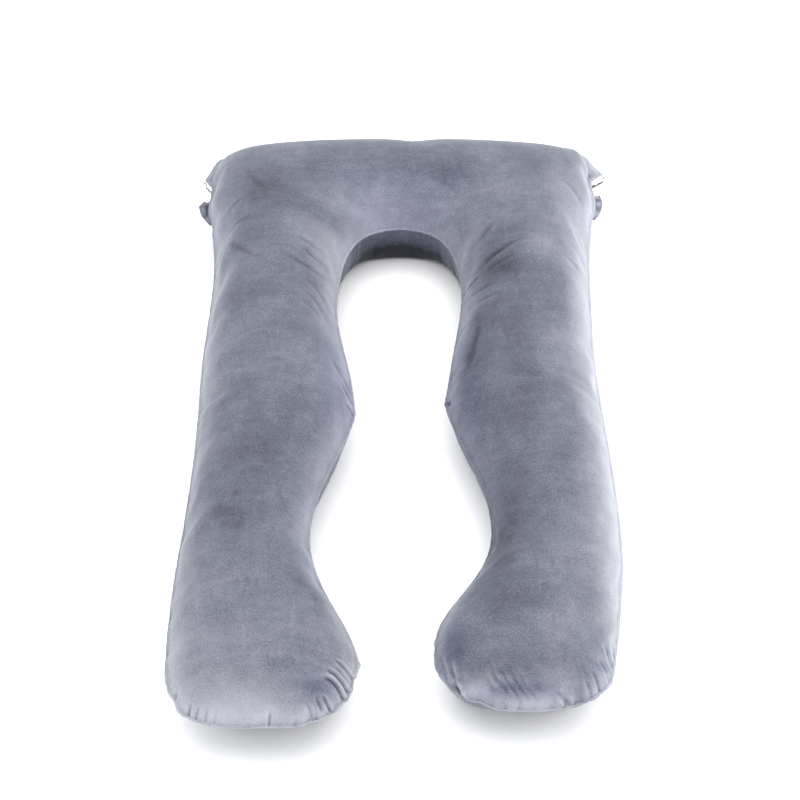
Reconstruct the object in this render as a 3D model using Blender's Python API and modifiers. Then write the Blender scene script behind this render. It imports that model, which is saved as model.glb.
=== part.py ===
"""A U-shaped full-body pregnancy pillow in a velvet cover, lying flat on its back.

Metres, +Z up. The head bar is at +Y and the two legs run towards -Y. The origin is on
the surface that the pillow lies on, under the middle of the whole object.
"""

import math
from collections import namedtuple

import bmesh
import bpy
from mathutils import Vector
from mathutils.bvhtree import BVHTree

# The tables below count x from the line midway between the inner seams and y from the
# left toe. This is the middle of the whole object in those terms.
MIDDLE_X = 0.003
MIDDLE_Y = 0.696

# Height of the seam that joins the top and bottom panels, the width of the flat welt
# along it, and how thick the welt is where the filling starts.
SEAM_HEIGHT = 0.100
WELT = 0.004
WELT_THICKNESS = 0.004

# Shape of the rounded sections above the seam: 1 - s^CROWN_POWER, raised to a power that
# steepens the side.
CROWN_POWER = 2.5
SIDE_POWER = 0.70

# Shape below the seam: the share of a half rib that rests on the floor, and how full the
# panel is between there and the seam, from 1 for a straight slope to 2 for an ellipse.
Underside = namedtuple("Underside", "contact fullness")
LEG_UNDERSIDE = Underside(0.70, 1.7)
HEAD_UNDERSIDE = Underside(0.84, 2.0)
TOE_UNDERSIDES = {-1: Underside(0.36, 1.1), 1: Underside(0.13, 1.1)}

# Points on one half of a rib: over the crown, down the underside's curve, and where the
# flat underside has its rings, as shares of the contact width.
TOP_STEPS = 4
UNDER_STEPS = 2
FLOOR_RINGS = (0.88, 0.0)

# Ribs across each leg. Every one lies along X at its own y; the other columns are the
# seams' distances from the middle line, the crown's height, and whether the inner seam
# has a point there.
LegRib = namedtuple("LegRib", "y left_outer left_inner right_inner right_outer crown point")
LEG_RIBS = (
    LegRib(0.115, 0.371, 0.062, 0.052, 0.342, 0.184, 0),
    LegRib(0.175, 0.374, 0.084, 0.054, 0.353, 0.188, 0),
    LegRib(0.240, 0.373, 0.120, 0.098, 0.363, 0.188, 0),
    LegRib(0.300, 0.372, 0.144, 0.141, 0.371, 0.184, 0),
    LegRib(0.365, 0.368, 0.155, 0.158, 0.374, 0.182, 0),
    LegRib(0.450, 0.365, 0.142, 0.150, 0.374, 0.186, 0),
    LegRib(0.540, 0.363, 0.109, 0.121, 0.372, 0.192, 0),
    LegRib(0.595, 0.364, 0.0895, 0.0985, 0.369, 0.195, 0),
    LegRib(0.6405, 0.365, 0.0795, 0.085, 0.367, 0.197, -1),
    LegRib(0.668, 0.366, 0.0825, 0.080, 0.366, 0.198, 1),
    LegRib(0.720, 0.368, 0.087, 0.089, 0.364, 0.198, 0),
    LegRib(0.800, 0.369, 0.104, 0.099, 0.363, 0.198, 0),
    LegRib(0.890, 0.366, 0.122, 0.115, 0.367, 0.199, 0),
)

# Ribs round one half of the head bar, from the leg to the middle line: their inner ends,
# the same on both sides, and their crowns, then where each one meets the outer seam.
# welt is the flat width outside the filling, and ear marks where that seam has a point.
Reach = namedtuple("Reach", "x y welt")
HeadRib = namedtuple("HeadRib", "inner_x inner_y crown left right ear")
HEAD_RIBS = (
    HeadRib(0.120, 0.965, 0.200, Reach(0.364, 0.985, WELT), Reach(0.371, 0.985, WELT), False),
    HeadRib(0.115, 1.030, 0.201, Reach(0.370, 1.085, WELT), Reach(0.377, 1.085, WELT), False),
    HeadRib(0.102, 1.078, 0.202, Reach(0.388, 1.180, WELT), Reach(0.392, 1.180, WELT), False),
    HeadRib(0.087, 1.108, 0.201, Reach(0.388, 1.264, 0.006), Reach(0.400, 1.270, 0.006), False),
    HeadRib(0.072, 1.125, 0.196, Reach(0.409, 1.306, 0.014), Reach(0.424, 1.325, 0.026), True),
    HeadRib(0.056, 1.136, 0.189, Reach(0.388, 1.364, 0.009), Reach(0.402, 1.368, 0.008), False),
    HeadRib(0.040, 1.143, 0.187, Reach(0.360, 1.397, 0.006), Reach(0.378, 1.399, 0.006), False),
    HeadRib(0.020, 1.148, 0.200, Reach(0.170, 1.400, WELT), Reach(0.175, 1.400, WELT), False),
)
ARCH_TOP = 1.150
BACK_SEAM = 1.399
MIDDLE_CROWN = 0.202

# Each toe beyond its leg's first rib: its depth, and how square it is in plan on its
# outer and on its inner side.
Toe = namedtuple("Toe", "depth outer_squareness inner_squareness")
LEFT_TOE = Toe(0.1245, 3.2, 2.65)
RIGHT_TOE = Toe(0.095, 2.50, 2.0)

# Half ribs round each toe, by their angle seen from above: 0 is the outer side, 90 the
# tip, 180 the inner side. gather is how deep the cover is drawn in there at the seam, and
# reach how far that fold runs up the panel, as a share of the half rib. The seam itself
# goes in by SEAM_SHARE of the gather.
SEAM_SHARE = 0.75
ToeRib = namedtuple("ToeRib", "angle gather reach")
LEFT_TOE_RIBS = (
    ToeRib(12, 0.000, 0.0),
    ToeRib(24, 0.006, 0.3),
    ToeRib(32, 0.010, 0.3),
    ToeRib(38, 0.000, 0.0),
    ToeRib(44, 0.005, 0.4),
    ToeRib(50, 0.000, 0.0),
    ToeRib(66, 0.000, 0.0),
    ToeRib(82, 0.000, 0.0),
    ToeRib(98, 0.004, 0.3),
    ToeRib(110, 0.000, 0.0),
    ToeRib(120, 0.000, 0.0),
    ToeRib(126, 0.006, 0.4),
    ToeRib(131, 0.000, 0.0),
    ToeRib(136, 0.009, 0.5),
    ToeRib(141, 0.000, 0.0),
    ToeRib(147, 0.010, 0.6),
    ToeRib(153, 0.000, 0.0),
    ToeRib(159, 0.008, 0.6),
    ToeRib(165, 0.000, 0.0),
    ToeRib(171, 0.006, 0.5),
)
RIGHT_TOE_RIBS = (
    ToeRib(10, 0.004, 0.3),
    ToeRib(18, 0.000, 0.0),
    ToeRib(27, 0.006, 0.4),
    ToeRib(35, 0.000, 0.0),
    ToeRib(43, 0.006, 0.4),
    ToeRib(52, 0.000, 0.0),
    ToeRib(66, 0.003, 0.4),
    ToeRib(80, 0.000, 0.0),
    ToeRib(96, 0.002, 0.4),
    ToeRib(112, 0.000, 0.0),
    ToeRib(124, 0.000, 0.0),
    ToeRib(132, 0.010, 0.4),
    ToeRib(140, 0.000, 0.0),
    ToeRib(152, 0.000, 0.0),
    ToeRib(161, 0.004, 0.3),
    ToeRib(170, 0.000, 0.0),
)

# The white casing's edge showing under each ear: a strip along the side seam from the
# ear's tip, its width beyond the seam, the share of it lost by its far end, how far it
# goes in under the welt and its drop below that.
CASING_START = 0.004
CASING_LENGTH = 0.030
CASING_SHARES = (0.0, 0.25, 0.5, 0.75, 1.0)
CASING_OUT = 0.005
CASING_TAPER = 0.6
CASING_IN = 0.0008
CASING_DROP = 0.0012
CASING_THICKNESS = 0.0015

# Gap kept between a sewn-on piece and the cushion, how far below the seam's ridge its
# reach is read, and a distance from the middle line that is well outside the cushion.
CLEARANCE = 0.0006
RIDGE_STEP = 0.0002
OUTSIDE = 1.0

# The loose tab of cover cloth at each side below its ear. Rows run from the head end
# down: y at the seam and at the free edge, how far the tab stands out from the side seam,
# and how far it hangs below it.
TabRow = namedtuple("TabRow", "y edge_y out drop")
LEFT_TAB = (
    TabRow(1.239, 1.252, 0.019, 0.015),
    TabRow(1.232, 1.246, 0.031, 0.020),
    TabRow(1.218, 1.227, 0.026, 0.022),
    TabRow(1.203, 1.209, 0.017, 0.022),
    TabRow(1.184, 1.184, 0.005, 0.018),
)
RIGHT_TAB = (
    TabRow(1.260, 1.274, 0.020, 0.015),
    TabRow(1.253, 1.265, 0.023, 0.020),
    TabRow(1.240, 1.249, 0.023, 0.022),
    TabRow(1.227, 1.233, 0.019, 0.024),
    TabRow(1.204, 1.206, 0.005, 0.020),
)
TAB_THICKNESS = 0.002

VELVET = (0.260, 0.275, 0.330)
VELVET_SHADE = (0.200, 0.212, 0.270)
CASING_WHITE = (0.900, 0.900, 0.885)

# Half ribs share their points on the spine: those this close become one.
WELD = 1e-5
HalfRib = namedtuple("HalfRib", "points sharp")


def plan(side, x, y):
    """A place in the object's frame: side is -1 on the left and 1 on the right."""
    return Vector((side * x - MIDDLE_X, y - MIDDLE_Y))


def blend(start, end, share):
    """A value part of the way from one to another."""
    return start + (end - start) * share


def material(name, colour, roughness):
    """A plain Principled material."""
    made = bpy.data.materials.new(name)
    made.use_nodes = True
    shader = made.node_tree.nodes["Principled BSDF"]
    shader.inputs["Base Color"].default_value = (*colour, 1.0)
    shader.inputs["Roughness"].default_value = roughness
    return made


def half_rib(spine, seam, crown, underside, welt=WELT, gather=0.0, reach=0.0, sharp=False):
    """Points from the crown over to the seam, then under to the floor's middle line.

    A gather draws the panel in and down next to the seam, fading out over its reach.
    """
    inward = (spine - seam).normalized()
    filling = seam + inward * (welt + gather)
    half_welt = WELT_THICKNESS / 2
    points = []
    for step in range(TOP_STEPS + 1):
        along = math.sin(math.pi / 2 * step / TOP_STEPS)
        rise = (crown - SEAM_HEIGHT - half_welt) * (1 - along**CROWN_POWER) ** SIDE_POWER
        fold = gather * max(0.0, 1 - (1 - along) / reach) if reach else 0.0
        top = SEAM_HEIGHT + half_welt + rise - min(fold, rise)
        points.append(Vector((*spine.lerp(filling, along), top)))
    points.append(Vector((*(seam + inward * gather * SEAM_SHARE), SEAM_HEIGHT)))
    contact, fullness = underside
    for step in range(UNDER_STEPS + 1):
        turn = math.pi / 2 * step / UNDER_STEPS
        along = contact + (1 - contact) * math.cos(turn) ** (2 / fullness)
        under = (SEAM_HEIGHT - half_welt) * (1 - math.sin(turn) ** (2 / fullness))
        points.append(Vector((*spine.lerp(filling, along), under)))
    for ring in FLOOR_RINGS:
        points.append(Vector((*spine.lerp(filling, contact * ring), 0.0)))
    return HalfRib(points, sharp)


def body_ribs(side):
    """Outer and inner half ribs of one side, from the leg's first rib to the last of the head."""
    outer_half, inner_half = [], []
    for row in LEG_RIBS:
        outer = plan(side, row.left_outer if side < 0 else row.right_outer, row.y)
        inner = plan(side, row.left_inner if side < 0 else row.right_inner, row.y)
        spine = (outer + inner) / 2
        outer_half.append(half_rib(spine, outer, row.crown, LEG_UNDERSIDE))
        inner_half.append(half_rib(spine, inner, row.crown, LEG_UNDERSIDE, sharp=row.point == side))
    for row in HEAD_RIBS:
        reach = row.left if side < 0 else row.right
        outer = plan(side, reach.x, reach.y)
        inner = plan(side, row.inner_x, row.inner_y)
        spine = (outer + inner) / 2
        outer_half.append(
            half_rib(spine, outer, row.crown, HEAD_UNDERSIDE, welt=reach.welt, sharp=row.ear)
        )
        inner_half.append(half_rib(spine, inner, row.crown, HEAD_UNDERSIDE))
    return outer_half, inner_half


def toe_ribs(side, toe, rows):
    """Half ribs that fan round a toe, from its outer side to its inner side."""
    first = LEG_RIBS[0]
    outer = plan(side, first.left_outer if side < 0 else first.right_outer, first.y)
    inner = plan(side, first.left_inner if side < 0 else first.right_inner, first.y)
    spine = (outer + inner) / 2
    half_width = (outer - inner).length / 2
    ribs = []
    for row in rows:
        turn = math.radians(row.angle)
        across, down = math.cos(turn), math.sin(turn)
        power = blend(toe.outer_squareness, toe.inner_squareness, row.angle / 180)
        size = (abs(across) / half_width) ** power + (down / toe.depth) ** power
        seam = spine + Vector((side * across, -down)) * size ** (-1 / power)
        tip = TOE_UNDERSIDES[side]
        contact = blend(LEG_UNDERSIDE.contact, tip.contact, down)
        fullness = blend(LEG_UNDERSIDE.fullness, tip.fullness, down)
        underside = Underside(contact, fullness)
        ribs.append(
            half_rib(spine, seam, first.crown, underside, gather=row.gather, reach=row.reach)
        )
    return ribs


def perimeter():
    """Every half rib in order, all the way round the pillow's seam."""
    left_outer, left_inner = body_ribs(-1)
    right_outer, right_inner = body_ribs(1)
    arch = plan(1, 0.0, ARCH_TOP)
    back = plan(1, 0.0, BACK_SEAM)
    spine = (arch + back) / 2
    return (
        [half_rib(spine, back, MIDDLE_CROWN, HEAD_UNDERSIDE)]
        + left_outer[::-1]
        + toe_ribs(-1, LEFT_TOE, LEFT_TOE_RIBS)
        + left_inner
        + [half_rib(spine, arch, MIDDLE_CROWN, HEAD_UNDERSIDE)]
        + right_inner[::-1]
        + toe_ribs(1, RIGHT_TOE, RIGHT_TOE_RIBS)[::-1]
        + right_outer
    )


def new_object(name, mesh, finish, collection):
    """Wraps a mesh as a smooth-shaded object with its material."""
    made = bpy.data.objects.new(name, mesh)
    made.data.materials.append(finish)
    made.data.shade_smooth()
    collection.objects.link(made)
    return made


def make_cushion(finish, collection):
    """The filled body: two panels sewn together round their edge, as a cage of half ribs."""
    ribs = perimeter()
    bm = bmesh.new()
    edge_crease = bm.edges.layers.float.new("crease_edge")
    point_crease = bm.verts.layers.float.new("crease_vert")
    columns = [[bm.verts.new(point) for point in rib.points] for rib in ribs]
    seam_row = TOP_STEPS + 1
    for index, column in enumerate(columns):
        before = columns[index - 1]
        for row in range(len(column) - 1):
            bm.faces.new((before[row], column[row], column[row + 1], before[row + 1]))
        bm.edges.get((before[seam_row], column[seam_row]))[edge_crease] = 1.0
        if ribs[index].sharp:
            column[seam_row][point_crease] = 1.0
    bmesh.ops.remove_doubles(bm, verts=bm.verts, dist=WELD)
    bmesh.ops.recalc_face_normals(bm, faces=bm.faces)
    mesh = bpy.data.meshes.new("cushion")
    bm.to_mesh(mesh)
    bm.free()
    cushion = new_object("cushion", mesh, finish, collection)
    smoothing = cushion.modifiers.new("Fullness", "SUBSURF")
    smoothing.levels = 1
    smoothing.render_levels = 1
    return cushion


def seam_reach(cushion, side, y):
    """How far the finished side seam reaches out along X at one y, just below its ridge."""
    surface = BVHTree.FromObject(cushion, bpy.context.evaluated_depsgraph_get())
    start = Vector((side * OUTSIDE, y, SEAM_HEIGHT - RIDGE_STEP))
    hit = surface.ray_cast(start, Vector((-side, 0.0, 0.0)))[0]
    return hit.x


def make_sheet(name, rows, thickness, finish, collection):
    """Thin cloth: a grid of points, one row after another, given its thickness."""
    bm = bmesh.new()
    grid = [[bm.verts.new(point) for point in row] for row in rows]
    for before, after in zip(grid, grid[1:]):
        for column in range(len(before) - 1):
            bm.faces.new(
                (before[column], before[column + 1], after[column + 1], after[column])
            )
    bmesh.ops.recalc_face_normals(bm, faces=bm.faces)
    mesh = bpy.data.meshes.new(name)
    bm.to_mesh(mesh)
    bm.free()
    sheet = new_object(name, mesh, finish, collection)
    solid = sheet.modifiers.new("Thickness", "SOLIDIFY")
    solid.thickness = thickness
    solid.offset = 0.0
    return sheet


def make_casing_edge(name, side, cushion, finish, collection):
    """The white inner casing where it shows under an ear, as a narrow strip at the seam."""
    ear = next(row.left if side < 0 else row.right for row in HEAD_RIBS if row.ear)
    middle = SEAM_HEIGHT - CASING_DROP - CASING_THICKNESS / 2
    rows = []
    for share in CASING_SHARES:
        y = ear.y - MIDDLE_Y - CASING_START - share * CASING_LENGTH
        seam = seam_reach(cushion, side, y)
        inner = Vector((seam - side * CASING_IN, y, middle))
        out = CASING_OUT * (1 - CASING_TAPER * share)
        outer = Vector((seam + side * out, y, middle - out / 4))
        rows.append([inner, outer])
    return make_sheet(name, rows, CASING_THICKNESS, finish, collection)


def make_tab(name, side, table, cushion, finish, collection):
    """A loose tab of cover cloth that hangs from the side seam and stands out from it."""
    rows = []
    for row in table:
        y, edge_y = row.y - MIDDLE_Y, row.edge_y - MIDDLE_Y
        seam = max(abs(seam_reach(cushion, side, place)) for place in (y, edge_y))
        root = side * (seam + CLEARANCE + TAB_THICKNESS / 2)
        low = SEAM_HEIGHT - row.drop
        rows.append(
            [
                Vector((root, y, SEAM_HEIGHT)),
                Vector((root + side * TAB_THICKNESS, (y + edge_y) / 2, low)),
                Vector((side * (seam + row.out), edge_y, low)),
            ]
        )
    return make_sheet(name, rows, TAB_THICKNESS, finish, collection)


def clear_scene():
    """Removes what the scene starts with."""
    for old in list(bpy.data.objects):
        bpy.data.objects.remove(old, do_unlink=True)


def main():
    """Builds the pillow: its filled cushion first, then what is sewn or shows at its seam."""
    clear_scene()
    collection = bpy.data.collections.new("pregnancy_pillow")
    bpy.context.scene.collection.children.link(collection)
    velvet = material("velvet", VELVET, 0.95)
    shade = material("velvet_tab", VELVET_SHADE, 0.95)
    white = material("casing_white", CASING_WHITE, 0.85)
    cushion = make_cushion(velvet, collection)
    make_casing_edge("casing_edge_left", -1, cushion, white, collection)
    make_casing_edge("casing_edge_right", 1, cushion, white, collection)
    make_tab("side_tab_left", -1, LEFT_TAB, cushion, shade, collection)
    make_tab("side_tab_right", 1, RIGHT_TAB, cushion, shade, collection)


main()
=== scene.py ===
"""Looks of a U-shaped full-body pregnancy pillow in a grey-blue velvet cover, lying flat.

Metres, +Z up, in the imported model's own frame. The head bar is at +Y and the two legs run
towards -Y. The cover is two panels joined by one seam all the way round.
"""

import logging
import math
from dataclasses import dataclass
from enum import Enum
from typing import NamedTuple

import bmesh
import bpy
import numpy as np
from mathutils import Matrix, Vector
from mathutils.bvhtree import BVHTree
from mathutils.kdtree import KDTree


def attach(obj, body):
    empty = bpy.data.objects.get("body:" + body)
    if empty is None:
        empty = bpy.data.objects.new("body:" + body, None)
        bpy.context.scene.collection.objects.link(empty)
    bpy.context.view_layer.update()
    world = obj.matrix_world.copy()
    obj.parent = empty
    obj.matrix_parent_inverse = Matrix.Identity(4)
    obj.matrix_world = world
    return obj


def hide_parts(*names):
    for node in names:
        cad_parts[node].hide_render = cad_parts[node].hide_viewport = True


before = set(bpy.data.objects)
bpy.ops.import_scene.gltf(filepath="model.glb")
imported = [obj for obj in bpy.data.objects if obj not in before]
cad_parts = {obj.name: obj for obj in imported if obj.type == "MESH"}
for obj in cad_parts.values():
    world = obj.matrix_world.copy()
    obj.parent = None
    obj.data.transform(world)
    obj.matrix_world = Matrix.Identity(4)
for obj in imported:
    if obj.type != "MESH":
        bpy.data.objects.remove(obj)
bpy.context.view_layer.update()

log = logging.getLogger("pregnancy_pillow")
CREASE_LAYERS = ("crease_edge", "crease_vert")
# The flat width outside the filling, where the cover has no ear.
WELT = 0.004
# The heights at which the side seam is looked for and a tab is sewn in.
SEAM_PROBE_HEIGHT = 0.0998
TAB_HEIGHT = 0.0995

# Short names for types; a wire is a node, its output, the next node and that node's input.
Pair = tuple[float, float]
Triple = tuple[float, float, float]
Value = float | tuple[float, ...]
Wire = tuple[bpy.types.Node, str | int, bpy.types.Node, str | int]


class Side(Enum):
    """A side of the pillow, as the sign of its X."""

    LEFT = -1
    RIGHT = 1


class Held(Enum):
    """How a piece of loose cloth is held."""

    HUNG = "hung"
    FOLDED = "folded"


class LegRib(NamedTuple):
    """One rib across both legs: the seams' distances from the middle line."""

    y: float
    left_outer: float
    left_inner: float
    right_inner: float
    right_outer: float
    crown: float
    point: int = 0


class Reach(NamedTuple):
    """Where a head rib meets the outer seam, and the flat welt outside the filling there."""

    x: float
    y: float
    welt: float = WELT


class HeadRib(NamedTuple):
    """One rib round half of the head bar, from the leg to the middle line."""

    inner_x: float
    inner_y: float
    crown: float
    left: Reach
    right: Reach
    ear: bool = False


class ToeRib(NamedTuple):
    """One half rib round a toe, by its angle seen from above, and its gather."""

    angle: float
    gather: float = 0.0
    reach: float = 0.0


class Underside(NamedTuple):
    """The share of a half rib that rests on the floor, and how full it is above that."""

    contact: float
    fullness: float


class HalfRib(NamedTuple):
    """Points from the crown to the seam and back under to the floor's middle line."""

    points: list[Vector]
    sharp: bool


class Crease(NamedTuple):
    """A soft trough in the top panel: its path in plan, half width, depth and raised lips."""

    path: tuple[Pair, ...]
    width: float
    depth: float
    strength: tuple[float, ...] = (0.0, 1.0, 0.0)
    lips: Pair = (0.35, 0.35)


class Patch(NamedTuple):
    """A soft patch in plan, used for pile tone, painted light and shade and painted blue shade:
    centre and half size in plan, and shift.
    """

    x: float
    y: float
    half_x: float
    half_y: float
    shift: float


class Nudge(NamedTuple):
    """A small push on the filled shape round one place in plan."""

    x: float
    y: float
    reach: float
    push: Triple


class EarCloth(NamedTuple):
    """The folded cloth under one ear: its hem's section and shade, its reach and sizes."""

    side: Side
    tip_y: float
    hem_section: tuple[Triple, ...]
    reaches: tuple[Pair, ...]
    shade: float
    curl: float | None
    length: float
    casing_flat: Pair
    hem_flat: Pair


LEG_RIBS = (
    LegRib(0.115, 0.371, 0.062, 0.052, 0.342, 0.184),
    LegRib(0.175, 0.374, 0.084, 0.054, 0.353, 0.188),
    LegRib(0.240, 0.373, 0.120, 0.098, 0.363, 0.188),
    LegRib(0.300, 0.372, 0.144, 0.141, 0.371, 0.184),
    LegRib(0.365, 0.368, 0.155, 0.158, 0.374, 0.182),
    LegRib(0.450, 0.365, 0.142, 0.150, 0.374, 0.186),
    LegRib(0.540, 0.363, 0.109, 0.121, 0.372, 0.192),
    LegRib(0.595, 0.364, 0.0895, 0.0985, 0.369, 0.195),
    LegRib(0.6405, 0.365, 0.0795, 0.085, 0.367, 0.197, -1),
    LegRib(0.668, 0.366, 0.0825, 0.080, 0.366, 0.198, 1),
    LegRib(0.720, 0.368, 0.087, 0.089, 0.364, 0.198),
    LegRib(0.800, 0.369, 0.104, 0.099, 0.363, 0.198),
    LegRib(0.890, 0.366, 0.122, 0.115, 0.367, 0.199),
)
HEAD_RIBS = (
    HeadRib(0.120, 0.965, 0.200, Reach(0.364, 0.985), Reach(0.371, 0.985)),
    HeadRib(0.115, 1.030, 0.201, Reach(0.370, 1.085), Reach(0.377, 1.085)),
    HeadRib(0.102, 1.078, 0.202, Reach(0.388, 1.180), Reach(0.392, 1.180)),
    HeadRib(0.087, 1.108, 0.201, Reach(0.388, 1.264, 0.006), Reach(0.400, 1.270, 0.006)),
    HeadRib(0.072, 1.125, 0.196, Reach(0.409, 1.306, 0.014), Reach(0.424, 1.325, 0.026), True),
    HeadRib(0.056, 1.136, 0.189, Reach(0.388, 1.364, 0.009), Reach(0.402, 1.368, 0.008)),
    HeadRib(0.040, 1.143, 0.187, Reach(0.360, 1.397, 0.006), Reach(0.378, 1.399, 0.006)),
    HeadRib(0.020, 1.148, 0.200, Reach(0.170, 1.400), Reach(0.175, 1.400)),
)
LEFT_TOE_RIBS = (
    ToeRib(12),
    ToeRib(24, 0.006, 0.3),
    ToeRib(32, 0.010, 0.3),
    ToeRib(38),
    ToeRib(44, 0.005, 0.4),
    ToeRib(50),
    ToeRib(66),
    ToeRib(82),
    ToeRib(98, 0.004, 0.3),
    ToeRib(110),
    ToeRib(120),
    ToeRib(126, 0.006, 0.4),
    ToeRib(131),
    ToeRib(136, 0.009, 0.5),
    ToeRib(141),
    ToeRib(147, 0.010, 0.6),
    ToeRib(153),
    ToeRib(159, 0.008, 0.6),
    ToeRib(165),
    ToeRib(171, 0.006, 0.5),
)
RIGHT_TOE_RIBS = (
    ToeRib(10, 0.004, 0.3),
    ToeRib(18),
    ToeRib(27, 0.006, 0.4),
    ToeRib(35),
    ToeRib(43, 0.006, 0.4),
    ToeRib(52),
    ToeRib(66, 0.003, 0.4),
    ToeRib(80),
    ToeRib(96, 0.002, 0.4),
    ToeRib(112),
    ToeRib(124),
    ToeRib(132, 0.010, 0.4),
    ToeRib(140),
    ToeRib(152),
    ToeRib(161, 0.004, 0.3),
    ToeRib(170),
)

# Folds of the left toe's inner corner, from the leg round to the tip, then its small ticks.
LEFT_TOE_CREASES = (
    Crease(((-0.106, -0.606), (-0.095, -0.609), (-0.087, -0.613), (-0.078, -0.617)), 0.0027, 0.0050,
           (0.0, 1.0, 1.0, 0.7), (0.75, 0.15)),
    Crease(((-0.107, -0.597), (-0.095, -0.600), (-0.084, -0.605), (-0.077, -0.609)), 0.0022, 0.0018,
           (0.0, 1.0, 1.0, 0.4), (0.6, 0.1)),
    Crease(((-0.121, -0.626), (-0.104, -0.629), (-0.093, -0.634), (-0.085, -0.641)), 0.0027, 0.0050,
           (0.0, 0.9, 1.0, 0.8), (0.70, 0.15)),
    Crease(((-0.110, -0.618), (-0.097, -0.621), (-0.086, -0.628)), 0.0022, 0.0018, (0.0, 1.0, 0.5),
           (0.5, 0.1)),
    Crease(((-0.125, -0.639), (-0.108, -0.641), (-0.099, -0.646), (-0.091, -0.654)), 0.0028, 0.0050,
           (0.0, 0.9, 1.0, 0.8), (0.80, 0.15)),
    Crease(((-0.124, -0.662), (-0.117, -0.668), (-0.112, -0.673)), 0.0024, 0.0034, (0.0, 1.0, 0.8),
           (0.7, 0.3)),
    Crease(((-0.134, -0.665), (-0.128, -0.672), (-0.124, -0.677)), 0.0023, 0.0024, (0.0, 1.0, 0.8),
           (0.6, 0.3)),
    Crease(((-0.147, -0.675), (-0.141, -0.682), (-0.138, -0.687)), 0.0022, 0.0016, (0.0, 1.0, 0.8)),
    Crease(((-0.344, -0.640), (-0.350, -0.650), (-0.356, -0.656)), 0.0028, 0.0024, (0.0, 0.8, 1.0)),
    Crease(((-0.320, -0.668), (-0.325, -0.678), (-0.329, -0.686)), 0.0024, 0.0030, (0.0, 0.8, 1.0)),
    Crease(((-0.308, -0.676), (-0.313, -0.684), (-0.317, -0.691)), 0.0024, 0.0032, (0.0, 0.8, 1.0)),
    Crease(((-0.294, -0.680), (-0.298, -0.688), (-0.301, -0.694)), 0.0026, 0.0018, (0.0, 0.8, 1.0)),
    Crease(((-0.280, -0.684), (-0.283, -0.691), (-0.286, -0.696)), 0.0024, 0.0014, (0.0, 0.8, 1.0)),
    Crease(((-0.199, -0.686), (-0.202, -0.694), (-0.203, -0.700)), 0.0022, 0.0030, (0.0, 0.8, 1.0)),
)
# The right toe: its deep slit, the slanting soft folds along its tip, then its outer corner.
RIGHT_TOE_CREASES = (
    Crease(((0.082, -0.630), (0.087, -0.639), (0.091, -0.645), (0.095, -0.650)), 0.0020, 0.0064,
           (0.2, 1.0, 1.0, 0.9), (0.60, 0.15)),
    Crease(((0.072, -0.600), (0.078, -0.616), (0.083, -0.630)), 0.0030, 0.0022, (0.0, 1.0, 0.6),
           (0.5, 0.2)),
    Crease(((0.060, -0.580), (0.064, -0.600), (0.070, -0.620)), 0.0030, 0.0018, (0.0, 1.0, 0.6),
           (0.5, 0.2)),
    Crease(((0.120, -0.626), (0.134, -0.644), (0.147, -0.655), (0.156, -0.663)), 0.0024, 0.0011),
    Crease(((0.132, -0.624), (0.148, -0.646), (0.160, -0.657), (0.168, -0.664)), 0.0023, 0.0014,
           (0.0, 0.7, 1.0, 0.4)),
    Crease(((0.144, -0.622), (0.160, -0.648), (0.173, -0.659), (0.182, -0.666)), 0.0024, 0.0016,
           (0.0, 0.6, 1.0, 0.4)),
    Crease(((0.158, -0.626), (0.174, -0.650), (0.188, -0.660), (0.197, -0.666)), 0.0023, 0.0014,
           (0.0, 0.6, 1.0, 0.4)),
    Crease(((0.174, -0.636), (0.190, -0.655), (0.202, -0.662), (0.211, -0.667)), 0.0024, 0.0012,
           (0.0, 0.8, 1.0, 0.4)),
    Crease(((0.231, -0.655), (0.245, -0.660), (0.258, -0.664)), 0.0024, 0.0024, (0.0, 1.0, 0.8),
           (0.1, 0.5)),
    Crease(((0.314, -0.566), (0.324, -0.587), (0.334, -0.600)), 0.0036, 0.0022, (0.0, 1.0, 0.8)),
    Crease(((0.302, -0.600), (0.316, -0.612), (0.326, -0.624)), 0.0030, 0.0020, (0.0, 1.0, 0.8)),
    Crease(((0.286, -0.618), (0.299, -0.628), (0.310, -0.642)), 0.0032, 0.0026, (0.0, 1.0, 0.8)),
    Crease(((0.278, -0.634), (0.289, -0.644), (0.297, -0.654)), 0.0030, 0.0020, (0.0, 1.0, 0.9)),
    Crease(((0.330, -0.552), (0.336, -0.574), (0.342, -0.586)), 0.0032, 0.0020, (0.0, 1.0, 0.7)),
)
# Small folds beside each belly point, and the long soft strip above the right one.
BELLY_CREASES = (
    Crease(((-0.105, -0.016), (-0.098, -0.025), (-0.090, -0.035)), 0.0032, 0.0032,
           (0.0, 1.0, 0.8), (0.5, 0.3)),
    Crease(((-0.098, 0.022), (-0.094, 0.012), (-0.088, -0.003)), 0.0030, 0.0026, (0.0, 1.0, 0.6),
           (0.3, 0.4)),
    Crease(((-0.108, 0.010), (-0.100, 0.000), (-0.091, -0.014)), 0.0034, 0.0026, (0.0, 1.0, 0.7)),
    Crease(((-0.114, -0.008), (-0.106, -0.018), (-0.100, -0.030), (-0.092, -0.044)), 0.0038, 0.0024),
    Crease(((-0.105, -0.058), (-0.096, -0.058), (-0.089, -0.059)), 0.0032, 0.0030, (0.0, 1.0, 0.9)),
    Crease(((-0.132, 0.038), (-0.117, 0.017), (-0.106, -0.004)), 0.0060, 0.0014),
    Crease(((0.140, 0.180), (0.140, 0.096), (0.124, 0.022), (0.106, -0.016)), 0.0100, 0.0016,
           (0.0, 1.0, 1.0, 0.3), (0.1, 0.6)),
    Crease(((0.080, -0.028), (0.084, -0.034), (0.090, -0.046)), 0.0030, 0.0038, (1.0, 0.8, 0.0)),
)
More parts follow.
